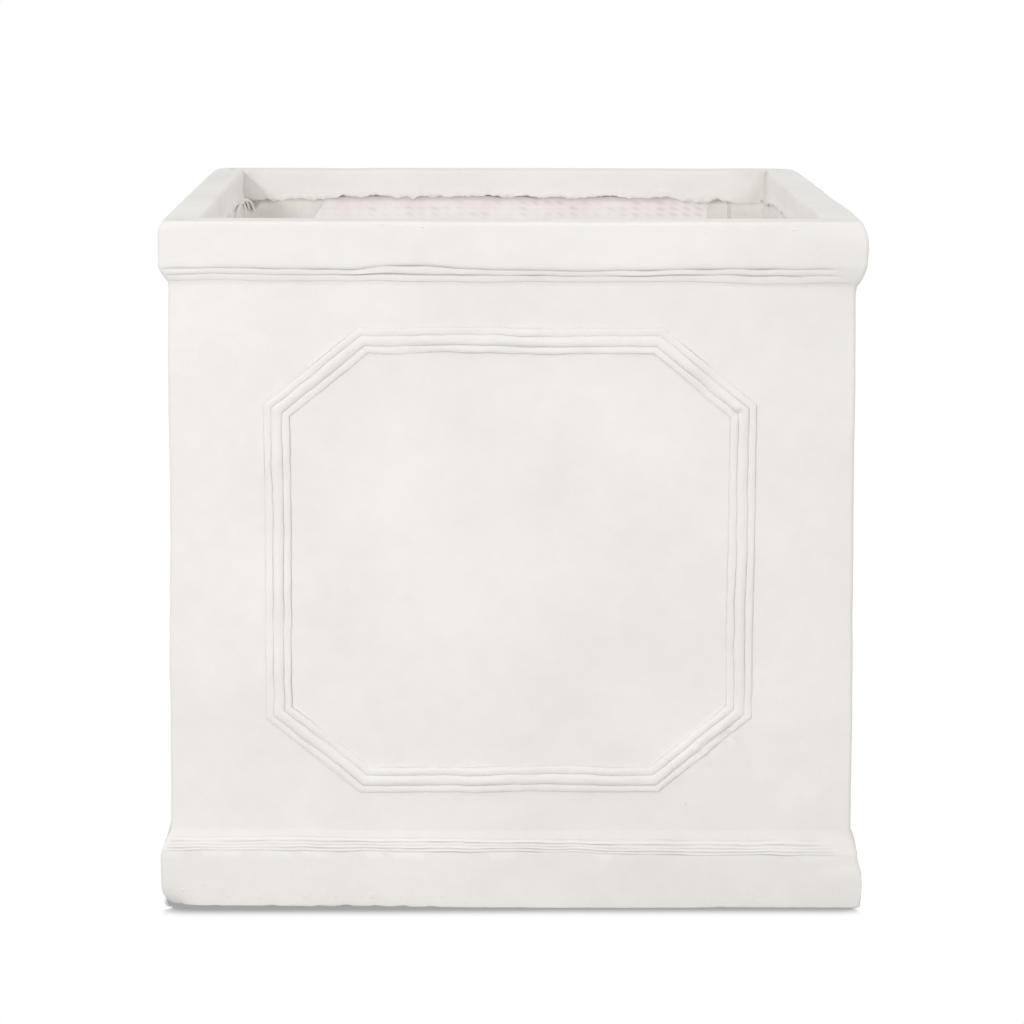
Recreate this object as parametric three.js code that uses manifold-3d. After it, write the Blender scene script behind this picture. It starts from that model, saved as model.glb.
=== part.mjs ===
// A square cast planter box. Four mitred slabs, each with its rim, scribed mouldings, panel frame and plinth
// in one casting, stand round a drained floor. Glass-fibre mesh backs them, and mortar fillets and coves
// bond every inner corner. Millimetres, +Z up, origin at the middle of the underside, front towards -Y.
import * as THREE from "three";
import { mergeVertices } from "three/addons/utils/BufferGeometryUtils.js";
import Module from "manifold-3d";

const wasm = await Module();
wasm.setup();

// ---- Driving dimensions ----

// The box.
const HEIGHT = 408;
const BODY_WIDTH = 394.8; // across the plain faces, where they meet the rim
const BODY_DRAFT = 4.8; // how much further out each face stands at the ground, to leave its mould
const WALL_THICKNESS = 12.2; // at the rim
const CORNER_RADIUS = 5; // the four upright outer arrises

// The rim: a plain band over a scribed slope, and a lip that overhangs the inside.
const RIM_PROJECTION = 5.6;
const RIM_BAND = 24.4;
const RIM_SLOPE = 12;
const RIM_LINES = 3;
const RIM_ARRIS = 1.5;
const LIP_DEPTH = 18;
const LIP_OVERHANG = 5;

// The plinth: a plain band under a scribed slope.
const PLINTH_PROJECTION = 5.8;
const PLINTH_BAND = 31;
const PLINTH_SLOPE = 15.5;
const PLINTH_LINES = 5;
const PLINTH_ARRIS = 3;

// Each scribed line, a V-shaped cut.
const LINE_WIDTH = 0.9;
const LINE_DEPTH = 0.7;

// The octagonal panel frame: two beads on either side of a band.
const PANEL_SIDE_MARGIN = 54.4; // from the body's upright edge to the frame
const PANEL_END_MARGIN = 24.8; // from the rim's or plinth's slope to the frame
const PANEL_CUT_WIDTH = 55; // the cut corners, along the rim
const PANEL_CUT_HEIGHT = 45; // the cut corners, down the sides
const BEAD_WIDTH = 3.9;
const BEAD_RAISE = 2;
const BAND_WIDTH = 5.4;
const BAND_RAISE = 2.8;
const FRAME_GROOVE = 0.8; // between a bead and the band
const FRAME_BEVEL = 0.7;
const FRAME_ROOT = 1.5; // how deep the frame is rooted in the face

// The floor, and the wall feet that carry it.
const FLOOR_RISE = 8; // from the ground to the feet's top
const FOOT_LEDGE = 12;
const FLOOR_THICKNESS = 14;
const DRAIN_DIAMETER = 25;
const DRAIN_MESH_TRIM = 3; // the floor's mesh is cut back this far round the hole

// Mesh and mortar.
const MESH_THICKNESS = 1.6;
const MESH_TOP_TRIM = 1.2; // from the lip's underside to the mesh's torn top edge
const FILLET_WIDTH = 50; // along each wall
const FILLET_EDGE = 2.5;
const FILLET_RADIUS = 16;
const COVE_SIZE = 15;
const COVE_EDGE = 1.5;

// What the bonded faces leave between them.
const BED_GAP = 0.3;

// Facets of the round forms. An arc of a shape gets two for each of its divisions.
const CORNER_STEPS = 3;
const MORTAR_DIVISIONS = 3;
const DRAIN_DIVISIONS = 14;

// ---- Places worked out from them ----

const bodyHalf = BODY_WIDTH / 2;
const faceAt = (height) => bodyHalf + BODY_DRAFT * (1 - height / HEIGHT);
const rimHalf = bodyHalf + RIM_PROJECTION;
const plinthHalf = faceAt(0) + PLINTH_PROJECTION;
const innerHalf = bodyHalf - WALL_THICKNESS;
const lipHalf = innerHalf - LIP_OVERHANG;
const footHalf = innerHalf - FOOT_LEDGE;

const lipBottom = HEIGHT - LIP_DEPTH;
const bandBottom = HEIGHT - RIM_BAND;
const faceTop = bandBottom - RIM_SLOPE;
const faceBottom = PLINTH_BAND + PLINTH_SLOPE;

const floorBottom = FLOOR_RISE + BED_GAP;
const floorTop = floorBottom + FLOOR_THICKNESS;
const onFloor = floorTop + BED_GAP; // the feet of the mesh and the coves
const meshBack = innerHalf - BED_GAP;
const meshFront = meshBack - MESH_THICKNESS;
const meshTop = lipBottom - MESH_TOP_TRIM;

const mortarHalf = meshFront - BED_GAP;
const coveToe = mortarHalf - COVE_SIZE;
const coveTop = onFloor + COVE_SIZE;
const filletBottom = coveTop + BED_GAP;

const point = (x, y) => new THREE.Vector2(x, y);
const extrude = (shape, depth) => new THREE.ExtrudeGeometry(shape, { depth, bevelEnabled: false });

// ---- Solids ----

// A geometry as a solid that can be joined and cut.
function solidOf(geometry) {
  const bare = geometry.index ? geometry.toNonIndexed() : geometry.clone();
  bare.deleteAttribute("normal");
  bare.deleteAttribute("uv");
  const merged = mergeVertices(bare, 1e-4);
  return new wasm.Manifold(
    new wasm.Mesh({
      numProp: 3,
      vertProperties: merged.attributes.position.array,
      triVerts: new Uint32Array(merged.index.array),
    }),
  );
}

// A solid as a geometry that a mesh can hold.
function geometryOf(solid) {
  const mesh = solid.getMesh();
  const geometry = new THREE.BufferGeometry();
  geometry.setAttribute("position", new THREE.BufferAttribute(mesh.vertProperties, 3));
  geometry.setIndex(new THREE.BufferAttribute(mesh.triVerts, 1));
  return geometry.toNonIndexed();
}

// Where a point of a side's outline comes, at one station along that side. The stations run from the right
// mitre to the left one. A rounded point follows the corner's arc up to the mitre, and a square one
// runs straight to it.
function stationPlace(out, station, steps, rounded) {
  const hand = station <= steps ? 1 : -1;
  const step = hand > 0 ? steps - station : station - steps - 1;
  const turn = steps ? (step / steps) * (Math.PI / 4) : 0;
  const centre = steps ? out - CORNER_RADIUS : out;
  const run = rounded ? Math.sin(turn) : step / Math.max(steps, 1);
  const end = rounded ? centre + CORNER_RADIUS * Math.SQRT1_2 : out;
  const trim = 1 - BED_GAP * Math.SQRT1_2 / end;
  return {
    x: hand * (centre + CORNER_RADIUS * run * (steps ? 1 : 0)) * trim,
    y: rounded ? -(centre + CORNER_RADIUS * Math.cos(turn)) : -out,
  };
}

// One side of a square ring about the box's axis, from an outline of points (distance out from the axis,
// height): a straight extrusion whose stations are moved to their places, so that it ends on the mitres.
function mitredSide(outline, steps = 0, isRounded = () => false) {
  const spans = 2 * steps + 1;
  const options = { depth: spans, steps: spans, bevelEnabled: false };
  const geometry = new THREE.ExtrudeGeometry(new THREE.Shape(outline), options);
  const position = geometry.attributes.position;
  for (let i = 0; i < position.count; i++) {
    const out = position.getX(i);
    const station = Math.round(position.getZ(i));
    const place = stationPlace(out, station, steps, isRounded(out));
    position.setXYZ(i, place.x, place.y, position.getY(i));
  }
  return geometry;
}

// ---- The cast slab ----

// A moulding's slope, with a V-shaped line cut into the middle of each of its strips.
function scribedSlope(from, to, lines) {
  const along = to.clone().sub(from);
  const length = along.length();
  along.normalize();
  const inward = point(-along.y, along.x);
  const at = (distance, depth) =>
    from.clone().addScaledVector(along, distance).addScaledVector(inward, depth);
  const points = [from];
  for (let i = 0; i < lines; i++) {
    const middle = (length * (i + 0.5)) / lines;
    points.push(at(middle - LINE_WIDTH / 2, 0));
    points.push(at(middle, LINE_DEPTH));
    points.push(at(middle + LINE_WIDTH / 2, 0));
  }
  points.push(to);
  return points;
}

function slabOutline() {
  const plinthEdge = point(plinthHalf, PLINTH_BAND);
  const faceFoot = point(faceAt(faceBottom), faceBottom);
  const faceHead = point(faceAt(faceTop), faceTop);
  const rimEdge = point(rimHalf, bandBottom);
  return [
    point(plinthHalf - PLINTH_ARRIS, 0),
    point(plinthHalf, PLINTH_ARRIS),
    ...scribedSlope(plinthEdge, faceFoot, PLINTH_LINES),
    ...scribedSlope(faceHead, rimEdge, RIM_LINES),
    point(rimHalf, HEIGHT - RIM_ARRIS),
    point(rimHalf - RIM_ARRIS, HEIGHT),
    point(lipHalf + RIM_ARRIS, HEIGHT),
    point(lipHalf, HEIGHT - RIM_ARRIS),
    point(lipHalf, lipBottom),
    point(innerHalf, lipBottom),
    point(innerHalf, FLOOR_RISE),
    point(footHalf, FLOOR_RISE),
    point(footHalf, 0),
  ];
}

// The panel frame's octagon, drawn about its middle and inset evenly from its outer edge.
function octagon(inset) {
  const halfWidth = bodyHalf - PANEL_SIDE_MARGIN;
  const halfHeight = (faceTop - faceBottom) / 2 - PANEL_END_MARGIN;
  const cut = Math.hypot(PANEL_CUT_WIDTH, PANEL_CUT_HEIGHT);
  const reach =
    PANEL_CUT_HEIGHT * halfWidth + PANEL_CUT_WIDTH * halfHeight - PANEL_CUT_WIDTH * PANEL_CUT_HEIGHT;
  const x = halfWidth - inset;
  const y = halfHeight - inset;
  const cutX = (reach - inset * cut - PANEL_CUT_WIDTH * y) / PANEL_CUT_HEIGHT;
  const cutY = (reach - inset * cut - PANEL_CUT_HEIGHT * x) / PANEL_CUT_WIDTH;
  const quarter = [point(x, cutY), point(cutX, y)];
  const mirrored = quarter.map((p) => point(-p.x, p.y)).reverse();
  const upper = [...quarter, ...mirrored];
  return [...upper, ...upper.map((p) => point(-p.x, -p.y))];
}

// One moulding of the frame: a bevelled ring that stands on the leaning face.
function frameRing(inset, width, raise) {
  const shape = new THREE.Shape(octagon(inset));
  shape.holes.push(new THREE.Path(octagon(inset + width)));
  const ring = new THREE.ExtrudeGeometry(shape, {
    depth: FRAME_ROOT + raise - 2 * FRAME_BEVEL,
    bevelThickness: FRAME_BEVEL,
    bevelSize: FRAME_BEVEL,
    bevelOffset: -FRAME_BEVEL,
    bevelSegments: 1,
  });
  const middle = (faceTop + faceBottom) / 2;
  const lean = Math.atan2(BODY_DRAFT, HEIGHT);
  ring.translate(0, 0, FRAME_BEVEL - FRAME_ROOT);
  ring.rotateX(Math.PI / 2 - lean);
  ring.translate(0, -faceAt(middle), middle);
  return ring;
}

function slab() {
  const isOuter = (out) => out > innerHalf + WALL_THICKNESS / 2;
  const bandInset = BEAD_WIDTH + FRAME_GROOVE;
  const innerBeadInset = bandInset + BAND_WIDTH + FRAME_GROOVE;
  const rings = [
    frameRing(0, BEAD_WIDTH, BEAD_RAISE),
    frameRing(bandInset, BAND_WIDTH, BAND_RAISE),
    frameRing(innerBeadInset, BEAD_WIDTH, BEAD_RAISE),
  ];
  const casting = solidOf(mitredSide(slabOutline(), CORNER_STEPS, isOuter));
  return geometryOf(rings.reduce((solid, ring) => solid.add(solidOf(ring)), casting));
}

// ---- Mesh and mortar on the walls ----

// The glass-fibre sheet on a slab's inner face, from the floor to the lip.
function wallMesh() {
  return mitredSide([
    point(meshFront, onFloor),
    point(meshBack, onFloor),
    point(meshBack, meshTop),
    point(meshFront, meshTop),
  ]);
}

// The mortar bead struck straight along a wall's foot.
function cove() {
  return mitredSide([
    point(coveToe, onFloor),
    point(mortarHalf, onFloor),
    point(mortarHalf, coveTop),
    point(mortarHalf - COVE_EDGE, coveTop),
    point(coveToe, onFloor + COVE_EDGE),
  ]);
}

// The mortar run down the inner corner at the right of the front, feathered out along both walls.
function cornerFillet() {
  const edge = mortarHalf - FILLET_EDGE;
  const end = mortarHalf - FILLET_WIDTH;
  const centre = edge - FILLET_RADIUS;
  const shape = new THREE.Shape();
  shape.moveTo(mortarHalf, -mortarHalf);
  shape.lineTo(mortarHalf, -end);
  shape.lineTo(edge, -end);
  shape.absarc(centre, -centre, FILLET_RADIUS, 0, -Math.PI / 2, true);
  shape.lineTo(end, -edge);
  shape.lineTo(end, -mortarHalf);
  const outline = new THREE.Shape(shape.extractPoints(MORTAR_DIVISIONS).shape);
  return extrude(outline, meshTop - filletBottom).translate(0, 0, filletBottom);
}

// ---- The floor ----

function drainedSquare(half, holeRadius) {
  const corners = [point(half, half), point(-half, half), point(-half, -half), point(half, -half)];
  const hole = new THREE.Path().absarc(0, 0, holeRadius, 0, 2 * Math.PI, true);
  const shape = new THREE.Shape(corners);
  shape.holes.push(new THREE.Path(hole.getPoints(DRAIN_DIVISIONS).slice(1)));
  return shape;
}

function floorSlab() {
  const shape = drainedSquare(innerHalf - BED_GAP, DRAIN_DIAMETER / 2);
  return extrude(shape, FLOOR_THICKNESS).translate(0, 0, floorBottom);
}

// The floor's mesh lies between the coves.
function floorMesh() {
  const shape = drainedSquare(coveToe - BED_GAP, DRAIN_DIAMETER / 2 + DRAIN_MESH_TRIM);
  return extrude(shape, MESH_THICKNESS).translate(0, 0, onFloor);
}

// ---- Materials ----

const castCement = () =>
  new THREE.MeshStandardMaterial({ color: "#edeae5", roughness: 0.85, metalness: 0 });
const glassMesh = () =>
  new THREE.MeshStandardMaterial({ color: "#efe5e2", roughness: 0.95, metalness: 0 });
const mortar = () =>
  new THREE.MeshStandardMaterial({ color: "#e2ded8", roughness: 0.9, metalness: 0 });

// ---- The planter ----

function piece(name, geometry, material) {
  geometry.computeVertexNormals();
  const mesh = new THREE.Mesh(geometry, material);
  mesh.name = name;
  return mesh;
}

// One side with the fillet at its right-hand end, turned about the axis to its place.
function side(name, cornerName, quarterTurns) {
  const group = new THREE.Group();
  group.rotation.z = quarterTurns * (Math.PI / 2);
  group.add(piece(`wall_${name}`, slab(), castCement()));
  group.add(piece(`mesh_${name}`, wallMesh(), glassMesh()));
  group.add(piece(`floor_cove_${name}`, cove(), mortar()));
  group.add(piece(`corner_fillet_${cornerName}`, cornerFillet(), mortar()));
  return group;
}

const planter = new THREE.Group();
planter.add(side("front", "front_right", 0));
planter.add(side("right", "back_right", 1));
planter.add(side("back", "back_left", 2));
planter.add(side("left", "front_left", 3));
planter.add(piece("floor_slab", floorSlab(), castCement()));
planter.add(piece("floor_mesh", floorMesh(), glassMesh()));

export default planter;
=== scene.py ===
"""A square planter box of limewashed cast cement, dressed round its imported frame.

Four mitred slabs stand round a drained floor. Each carries its rim, scribed mouldings, panel frame and
plinth in one casting. Glass mesh backs them inside, and mortar fills the inner corners. The mould was
struck by hand, so lines waver, arrises are soft and the lip inside is torn. Sizes are in millimetres where
a comment or a docstring says so, and in metres otherwise; +Z is up and the front faces -Y.
"""

import logging
import math
from collections.abc import Callable
from dataclasses import dataclass, field
from enum import Enum
from functools import cached_property

import bmesh
import bpy
from bmesh.types import BMEdge, BMesh, BMVert
from mathutils import Matrix, Quaternion, Vector, kdtree, noise


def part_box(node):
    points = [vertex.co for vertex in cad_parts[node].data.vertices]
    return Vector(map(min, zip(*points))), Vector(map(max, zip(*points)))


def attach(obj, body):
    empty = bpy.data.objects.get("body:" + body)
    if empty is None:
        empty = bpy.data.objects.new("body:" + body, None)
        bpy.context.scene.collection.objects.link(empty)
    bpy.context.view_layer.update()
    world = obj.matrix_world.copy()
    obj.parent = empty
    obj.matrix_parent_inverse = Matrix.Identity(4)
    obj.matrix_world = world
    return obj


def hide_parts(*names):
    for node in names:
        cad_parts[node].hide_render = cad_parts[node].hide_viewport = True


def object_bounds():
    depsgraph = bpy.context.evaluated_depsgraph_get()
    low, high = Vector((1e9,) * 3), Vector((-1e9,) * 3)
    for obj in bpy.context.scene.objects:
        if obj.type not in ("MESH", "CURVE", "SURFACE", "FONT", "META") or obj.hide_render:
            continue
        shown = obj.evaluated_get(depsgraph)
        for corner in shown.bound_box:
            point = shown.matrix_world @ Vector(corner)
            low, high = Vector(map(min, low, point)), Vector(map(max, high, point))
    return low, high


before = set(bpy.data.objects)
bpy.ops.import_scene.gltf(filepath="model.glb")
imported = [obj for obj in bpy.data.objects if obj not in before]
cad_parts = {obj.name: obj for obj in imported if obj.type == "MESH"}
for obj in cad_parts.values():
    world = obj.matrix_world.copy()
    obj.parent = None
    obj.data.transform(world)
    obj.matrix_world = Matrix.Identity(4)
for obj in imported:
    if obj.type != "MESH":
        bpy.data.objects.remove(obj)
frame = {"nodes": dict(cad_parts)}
CAD_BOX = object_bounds()

MM = 0.001
ROOT = "root"
SMOOTH_BELOW = math.radians(48)  # faces that meet at less than this are shaded as one
NEAR = 1e-5  # places closer than this are one place
NOISE_SEED = 3

log = logging.getLogger("planter")


class Side(Enum):
    """The four slabs, by the quarter turns from the front."""

    FRONT = 0
    RIGHT = 1
    BACK = 2
    LEFT = 3

    @property
    def label(self) -> str:
        """The word that the frame's nodes use for this side."""
        return self.name.lower()

    @property
    def turn(self) -> Matrix:
        """The turn about the axis that brings the front to this side."""
        return Matrix.Rotation(math.radians(90) * self.value, 4, "Z")

    @property
    def outward(self) -> Vector:
        """The way this side faces."""
        return self.turn @ Vector((0, -1, 0))

    @property
    def along(self) -> Vector:
        """The way from its left end to its right, seen from outside."""
        return self.turn @ Vector((1, 0, 0))

    @property
    def right_corner(self) -> "Corner":
        """The corner at this side's right-hand end, seen from outside."""
        return list(Corner)[self.value]

    @property
    def left_corner(self) -> "Corner":
        """The corner at this side's left-hand end, seen from outside."""
        return list(Corner)[self.value - 1]


class Corner(Enum):
    """The four upright corners: plan radius, and how far the rubbed joint eats into lines, in millimetres."""

    FRONT_RIGHT = ("front_right", 2.6, 15.0)
    BACK_RIGHT = ("back_right", 9.0, 10.0)
    BACK_LEFT = ("back_left", 10.0, 9.0)
    FRONT_LEFT = ("front_left", 2.2, 2.0)

    @property
    def label(self) -> str:
        """The words that the frame's nodes use for this corner."""
        return self.value[0]

    @property
    def radius(self) -> float:
        """The plan radius of the outer arris, in metres."""
        return self.value[1] * MM

    @property
    def rubbed(self) -> float:
        """How far from the corner the scribed lines end, in metres."""
        return self.value[2] * MM

    @property
    def signs(self) -> tuple[int, int]:
        """Which way x and y go from the axis to this corner."""
        back, side = self.label.split("_")
        return (1 if side == "right" else -1), (1 if back == "back" else -1)


class Slot(Enum):
    """The record's material slots."""

    CEMENT = "cast_cement"
    MESH = "glass_mesh"
    MORTAR = "mortar"


# ---- Small helpers ----


def smooth_step(low: float, high: float, value: float) -> float:
    """A smooth rise from 0 at low to 1 at high.

    Args:
        low: Where the rise starts.
        high: Where it ends.
        value: The place on it.

    Returns:
        A share from 0 to 1.
    """
    share = min(max((value - low) / (high - low), 0.0), 1.0)
    return share * share * (3 - 2 * share)


def linear(code: str, alpha: float = 1.0) -> tuple[float, float, float, float]:
    """An sRGB hex colour as the linear values that a shader takes.

    Args:
        code: The colour, such as "#EFECE7".
        alpha: The fourth value.

    Returns:
        Red, green, blue and alpha.
    """
    shares = [int(code[i : i + 2], 16) / 255 for i in (1, 3, 5)]
    red, green, blue = (s / 12.92 if s <= 0.04045 else ((s + 0.055) / 1.055) ** 2.4 for s in shares)
    return red, green, blue, alpha


def per_metre(size: float) -> float:
    """The scale of a pattern on object coordinates whose features are size millimetres across."""
    return 1.0 / (size * MM)


def add_node(
    tree: bpy.types.NodeTree, kind: str, settings: dict | None = None, inputs: dict | None = None
) -> bpy.types.Node:
    """Adds a node with its settings, values and links.

    Args:
        tree: The node tree.
        kind: The node's type name.
        settings: Attributes of the node.
        inputs: A value, or the socket that feeds it, for each named or numbered input.

    Returns:
        The node.
    """
    node = tree.nodes.new(kind)
    for name, value in (settings or {}).items():
        setattr(node, name, value)
    for name, value in (inputs or {}).items():
        if isinstance(value, bpy.types.NodeSocket):
            tree.links.new(value, node.inputs[name])
        else:
            node.inputs[name].default_value = value
    return node


def finished(name: str, bm: BMesh, material: bpy.types.Material, slot: Slot, *nodes: str) -> bpy.types.Object:
    """Makes a bmesh a piece of the planter that stands for some of the frame's nodes.

    Args:
        name: The piece's name.
        bm: The mesh, which is freed.
        material: Its finish.
        slot: The record's slot that the finish belongs to. It is not used.
        nodes: The frame's nodes that it stands for.

    Returns:
        The new object.
    """
    bmesh.ops.recalc_face_normals(bm, faces=bm.faces)
    for face in bm.faces:
        face.smooth = True
    mesh = bpy.data.meshes.new(name)
    bm.to_mesh(mesh)
    bm.free()
    mesh.set_sharp_from_angle(angle=SMOOTH_BELOW)
    mesh.materials.append(material)
    piece = bpy.data.objects.new(name, mesh)
    bpy.context.scene.collection.objects.link(piece)
    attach(piece, ROOT)
    if nodes:
        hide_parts(*nodes)
    log.info("%s: %d faces, stands for %s", name, len(mesh.polygons), ", ".join(nodes) or "no node")
    return piece


def verts_of(result: dict) -> list[BMVert]:
    """The vertices among what an operator returned."""
    return [item for item in result["geom"] if isinstance(item, BMVert)]


def edges_of(result: dict) -> list[BMEdge]:
    """The edges among what an operator returned."""
    return [item for item in result["geom"] if isinstance(item, BMEdge)]


def next_row(bm: BMesh, edges: list[BMEdge], place: Callable[[Vector], Vector]) -> list[BMEdge]:
    """Extrudes a row of edges and moves each new vertex to its place.

    Args:
        bm: The mesh.
        edges: The row.
        place: Where a vertex goes, from where it was.

    Returns:
        The new row's edges.
    """
    result = bmesh.ops.extrude_edge_only(bm, edges=edges)
    for vert in verts_of(result):
        vert.co = place(vert.co)
    new = set(verts_of(result))
    return [edge for edge in edges_of(result) if edge.verts[0] in new and edge.verts[1] in new]


# ---- Unevenness ----


@dataclass(frozen=True)
class Waver:
    """One size of unevenness: how long its waves are and how far they reach, in millimetres."""

    length: float
    reach: float
    seed: float = 0.0

    def sample(self, place: Vector) -> Vector:
        """Where a place comes in the noise."""
        return place / (self.length * MM) + Vector((self.seed, 0, -self.seed))

    def at(self, place: Vector) -> Vector:
        """The shift at a place, the same for every piece that comes there."""
        return noise.noise_vector(self.sample(place)) * self.reach * MM

    def level(self, place: Vector) -> float:
        """A single height at a place, both ways about nought."""
        return noise.noise(self.sample(place)) * self.reach * MM


@dataclass(frozen=True)
class HandFinish:
    """How far rubbing and brushing by hand left the castings from true."""

    wavers: tuple[Waver, ...] = (Waver(95, 0.55, 3.1), Waver(34, 0.3, 7.7), Waver(11, 0.15, 1.3))

    def shift(self, place: Vector) -> Vector:
        """The shift of a point of any piece, from where it is."""
        return sum((waver.at(place) for waver in self.wavers), Vector())


HAND = HandFinish()


# ---- The box's sizes ----


@dataclass(frozen=True)
class BoxSizes:
    """The box's sizes, from the frame's nodes where they show them and named in millimetres where not."""

    rim_out: float = 203.0 * MM  # the rim's face, from the axis
    body_top_out: float = 197.4 * MM  # the plain face where it would meet the top
    body_draft: float = 4.8 * MM  # how much further out that face stands at the ground
    rim_band: float = 24.4 * MM
    rim_slope: float = 12.0 * MM
    plinth_band: float = 31.0 * MM
    plinth_slope: float = 15.5 * MM
    inner_out: float = 185.2 * MM  # the slab's inner face
    lip_out: float = 180.2 * MM
    lip_depth: float = 18.0 * MM
    foot_height: float = 8.0 * MM
    height: float = field(default_factory=lambda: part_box("wall_front")[1].z)
    plinth_out: float = field(default_factory=lambda: -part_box("wall_front")[0].y)
    foot_out: float = field(default_factory=lambda: -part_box("wall_front")[1].y)

    @property
    def face_top(self) -> float:
        """Where the plain face meets the rim's slope."""
        return self.height - self.rim_band - self.rim_slope

    @property
    def face_foot(self) -> float:
        """Where the plain face meets the plinth's slope."""
        return self.plinth_band + self.plinth_slope

    def face_out(self, height: float) -> float:
        """How far the plain face is from the axis at a height."""
        return self.body_top_out + self.body_draft * (1 - height / self.height)


@dataclass(frozen=True)
class Mark:
    """A pit, nick or chip: where on the slab's outside, how wide and how deep, in millimetres."""

    across: float
    up: float
    width: float
    depth: float


@dataclass(frozen=True)
class Rub:
    """A place at a corner that hands rubbed away: its height, its reach up and along, and its depth."""

    corner: Corner
    up: float  # millimetres, as the rest
    reach_up: float
    reach_along: float
    depth: float
    whole_to: float = 8.0  # how far from the corner a face still moves with the other
    none_from: float = 16.0  # how far from it it no longer does

    @cached_property
    def signs(self) -> tuple[int, int]:
        """Which way x and y go to the corner."""
        return self.corner.signs

    def shift(self, place: Vector, out: float) -> Vector:
        """How far a point moves towards the axis.

        Args:
            place: The point.
            out: How far the corner's two faces are from the axis.

        Returns:
            The shift, in metres.
        """
        x, y = self.signs
        away_x, away_y = out - place.x * x, out - place.y * y
        away = max(away_x, away_y) / (self.reach_along * MM)
        rise = (place.z - self.up * MM) / (self.reach_up * MM)
        share = math.exp(-away * away - rise * rise) * self.depth * MM
        near_x = 1 - smooth_step(self.whole_to * MM, self.none_from * MM, away_x)
        near_y = 1 - smooth_step(self.whole_to * MM, self.none_from * MM, away_y)
        return Vector((-x * share * near_x, -y * share * near_y, 0))


RUBS = (
    Rub(Corner.FRONT_RIGHT, 33, 8, 26, 2.2),
    Rub(Corner.FRONT_RIGHT, 13, 9, 30, -1.3),
    Rub(Corner.FRONT_RIGHT, 393, 10, 30, -1.1),
    Rub(Corner.FRONT_RIGHT, 408, 6, 40, 2.6),
    Rub(Corner.FRONT_RIGHT, 376, 6, 25, -1.3),
    Rub(Corner.FRONT_LEFT, 0, 7, 14, 5.0),
    Rub(Corner.FRONT_LEFT, 378, 5, 25, -0.8),
    Rub(Corner.BACK_LEFT, 409, 5, 600, 1.9),
    Rub(Corner.FRONT_LEFT, 408, 3, 16, 1.6),
    Rub(Corner.BACK_LEFT, 408, 6, 20, 2.0),
    Rub(Corner.BACK_LEFT, 1, 5, 18, 3.0),
    Rub(Corner.BACK_RIGHT, 408, 6, 18, 2.5),
    Rub(Corner.BACK_RIGHT, 40, 9, 26, 1.6),
)


@dataclass(frozen=True)
class Swerve:
    """A place where a scribed line leaves its level, in millimetres."""

    across: float
    up: float
    width: float
    rise: float


@dataclass(frozen=True)
class Rough:
    """A round patch of a slab where the casting tore or the wash lies in lumps, in millimetres."""

    across: float
    up: float
    radius: float
    reach: float


@dataclass(frozen=True)
class RowPoint:
    """One row of a slab's outline: how far from the axis, how high, and what the row belongs to."""

    out: float
    up: float
    cut: float = 0.0  # how deep it is scribed
    line: int = 0  # which scribed line it is part of, from 1
    hollow: float = 0.0  # how much painted shade it takes, in a groove or under the lip
    torn: float = 0.0  # how much of the lip's raggedness it takes


@dataclass(frozen=True)
class Knee:
    """A corner of an outline, eased by a radius."""

    out: float
    up: float
    radius: float = 0.0


def eased_outline(knees: list[Knee], steps: int = 6) -> list[Vector]:
    """Draws an outline through its knees, with an arc that is tangent to both stretches at each.

    Args:
        knees: The outline's corners. The ends have no radius.
        steps: The steps of each arc.

    Returns:
        The outline's points, out and up.
    """
    points = [Vector((knees[0].out, knees[0].up))]
    for before, knee, after in zip(knees, knees[1:], knees[2:]):
        corner = Vector((knee.out, knee.up))
        back = (Vector((before.out, before.up)) - corner).normalized()
        on = (Vector((after.out, after.up)) - corner).normalized()
        half = back.angle(on) / 2
        centre = corner + (back + on).normalized() * knee.radius / math.sin(half)
        start = corner + back * knee.radius / math.tan(half) - centre
        turn = start.angle_signed(corner + on * knee.radius / math.tan(half) - centre)
        points += [centre + Matrix.Rotation(-turn * i / steps, 2) @ start for i in range(steps + 1)]
    return points + [Vector((knees[-1].out, knees[-1].up))]


def out_at(outline: list[Vector], up: float) -> float:
    """How far an outline that keeps rising or falling is from the axis at a height."""
    for a, b in zip(outline, outline[1:]):
        if min(a.y, b.y) - NEAR <= up <= max(a.y, b.y) + NEAR and abs(a.y - b.y) > NEAR:
            return a.x + (b.x - a.x) * (up - a.y) / (b.y - a.y)
    return outline[-1].x


@dataclass(frozen=True)
class ScribedLine:
    """A line drawn into the wet casting with a point."""

    width: float = 1.3 * MM
    depth: float = 1.0 * MM
    # A row's place across the line, as a share of its width, and its depth as a share of the whole.
    section: tuple[tuple[float, float], ...] = (
        (-0.5, 0.0),
        (-0.25, 0.45),
        (-0.05, 1.0),
        (0.15, 0.8),
        (0.5, 0.0),
    )
    # Past a rubbed joint it deepens quickly, and then gains the last share of its depth slowly.
    right_start: float = 5 * MM
    right_run: float = 45 * MM
    right_gain: float = 0.4
    left_start: float = 3 * MM
    left_run: tuple[float, float] = (40 * MM, 110 * MM)  # from the corner
    left_gain: float = 0.3
    beat: float = 17 * MM  # the length over which the hand pressed more and less
    press: tuple[float, float] = (0.8, 0.6)  # how hard in the middle, and how much more or less
    hardest: float = 1.15


SCRIBED = ScribedLine()


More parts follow.
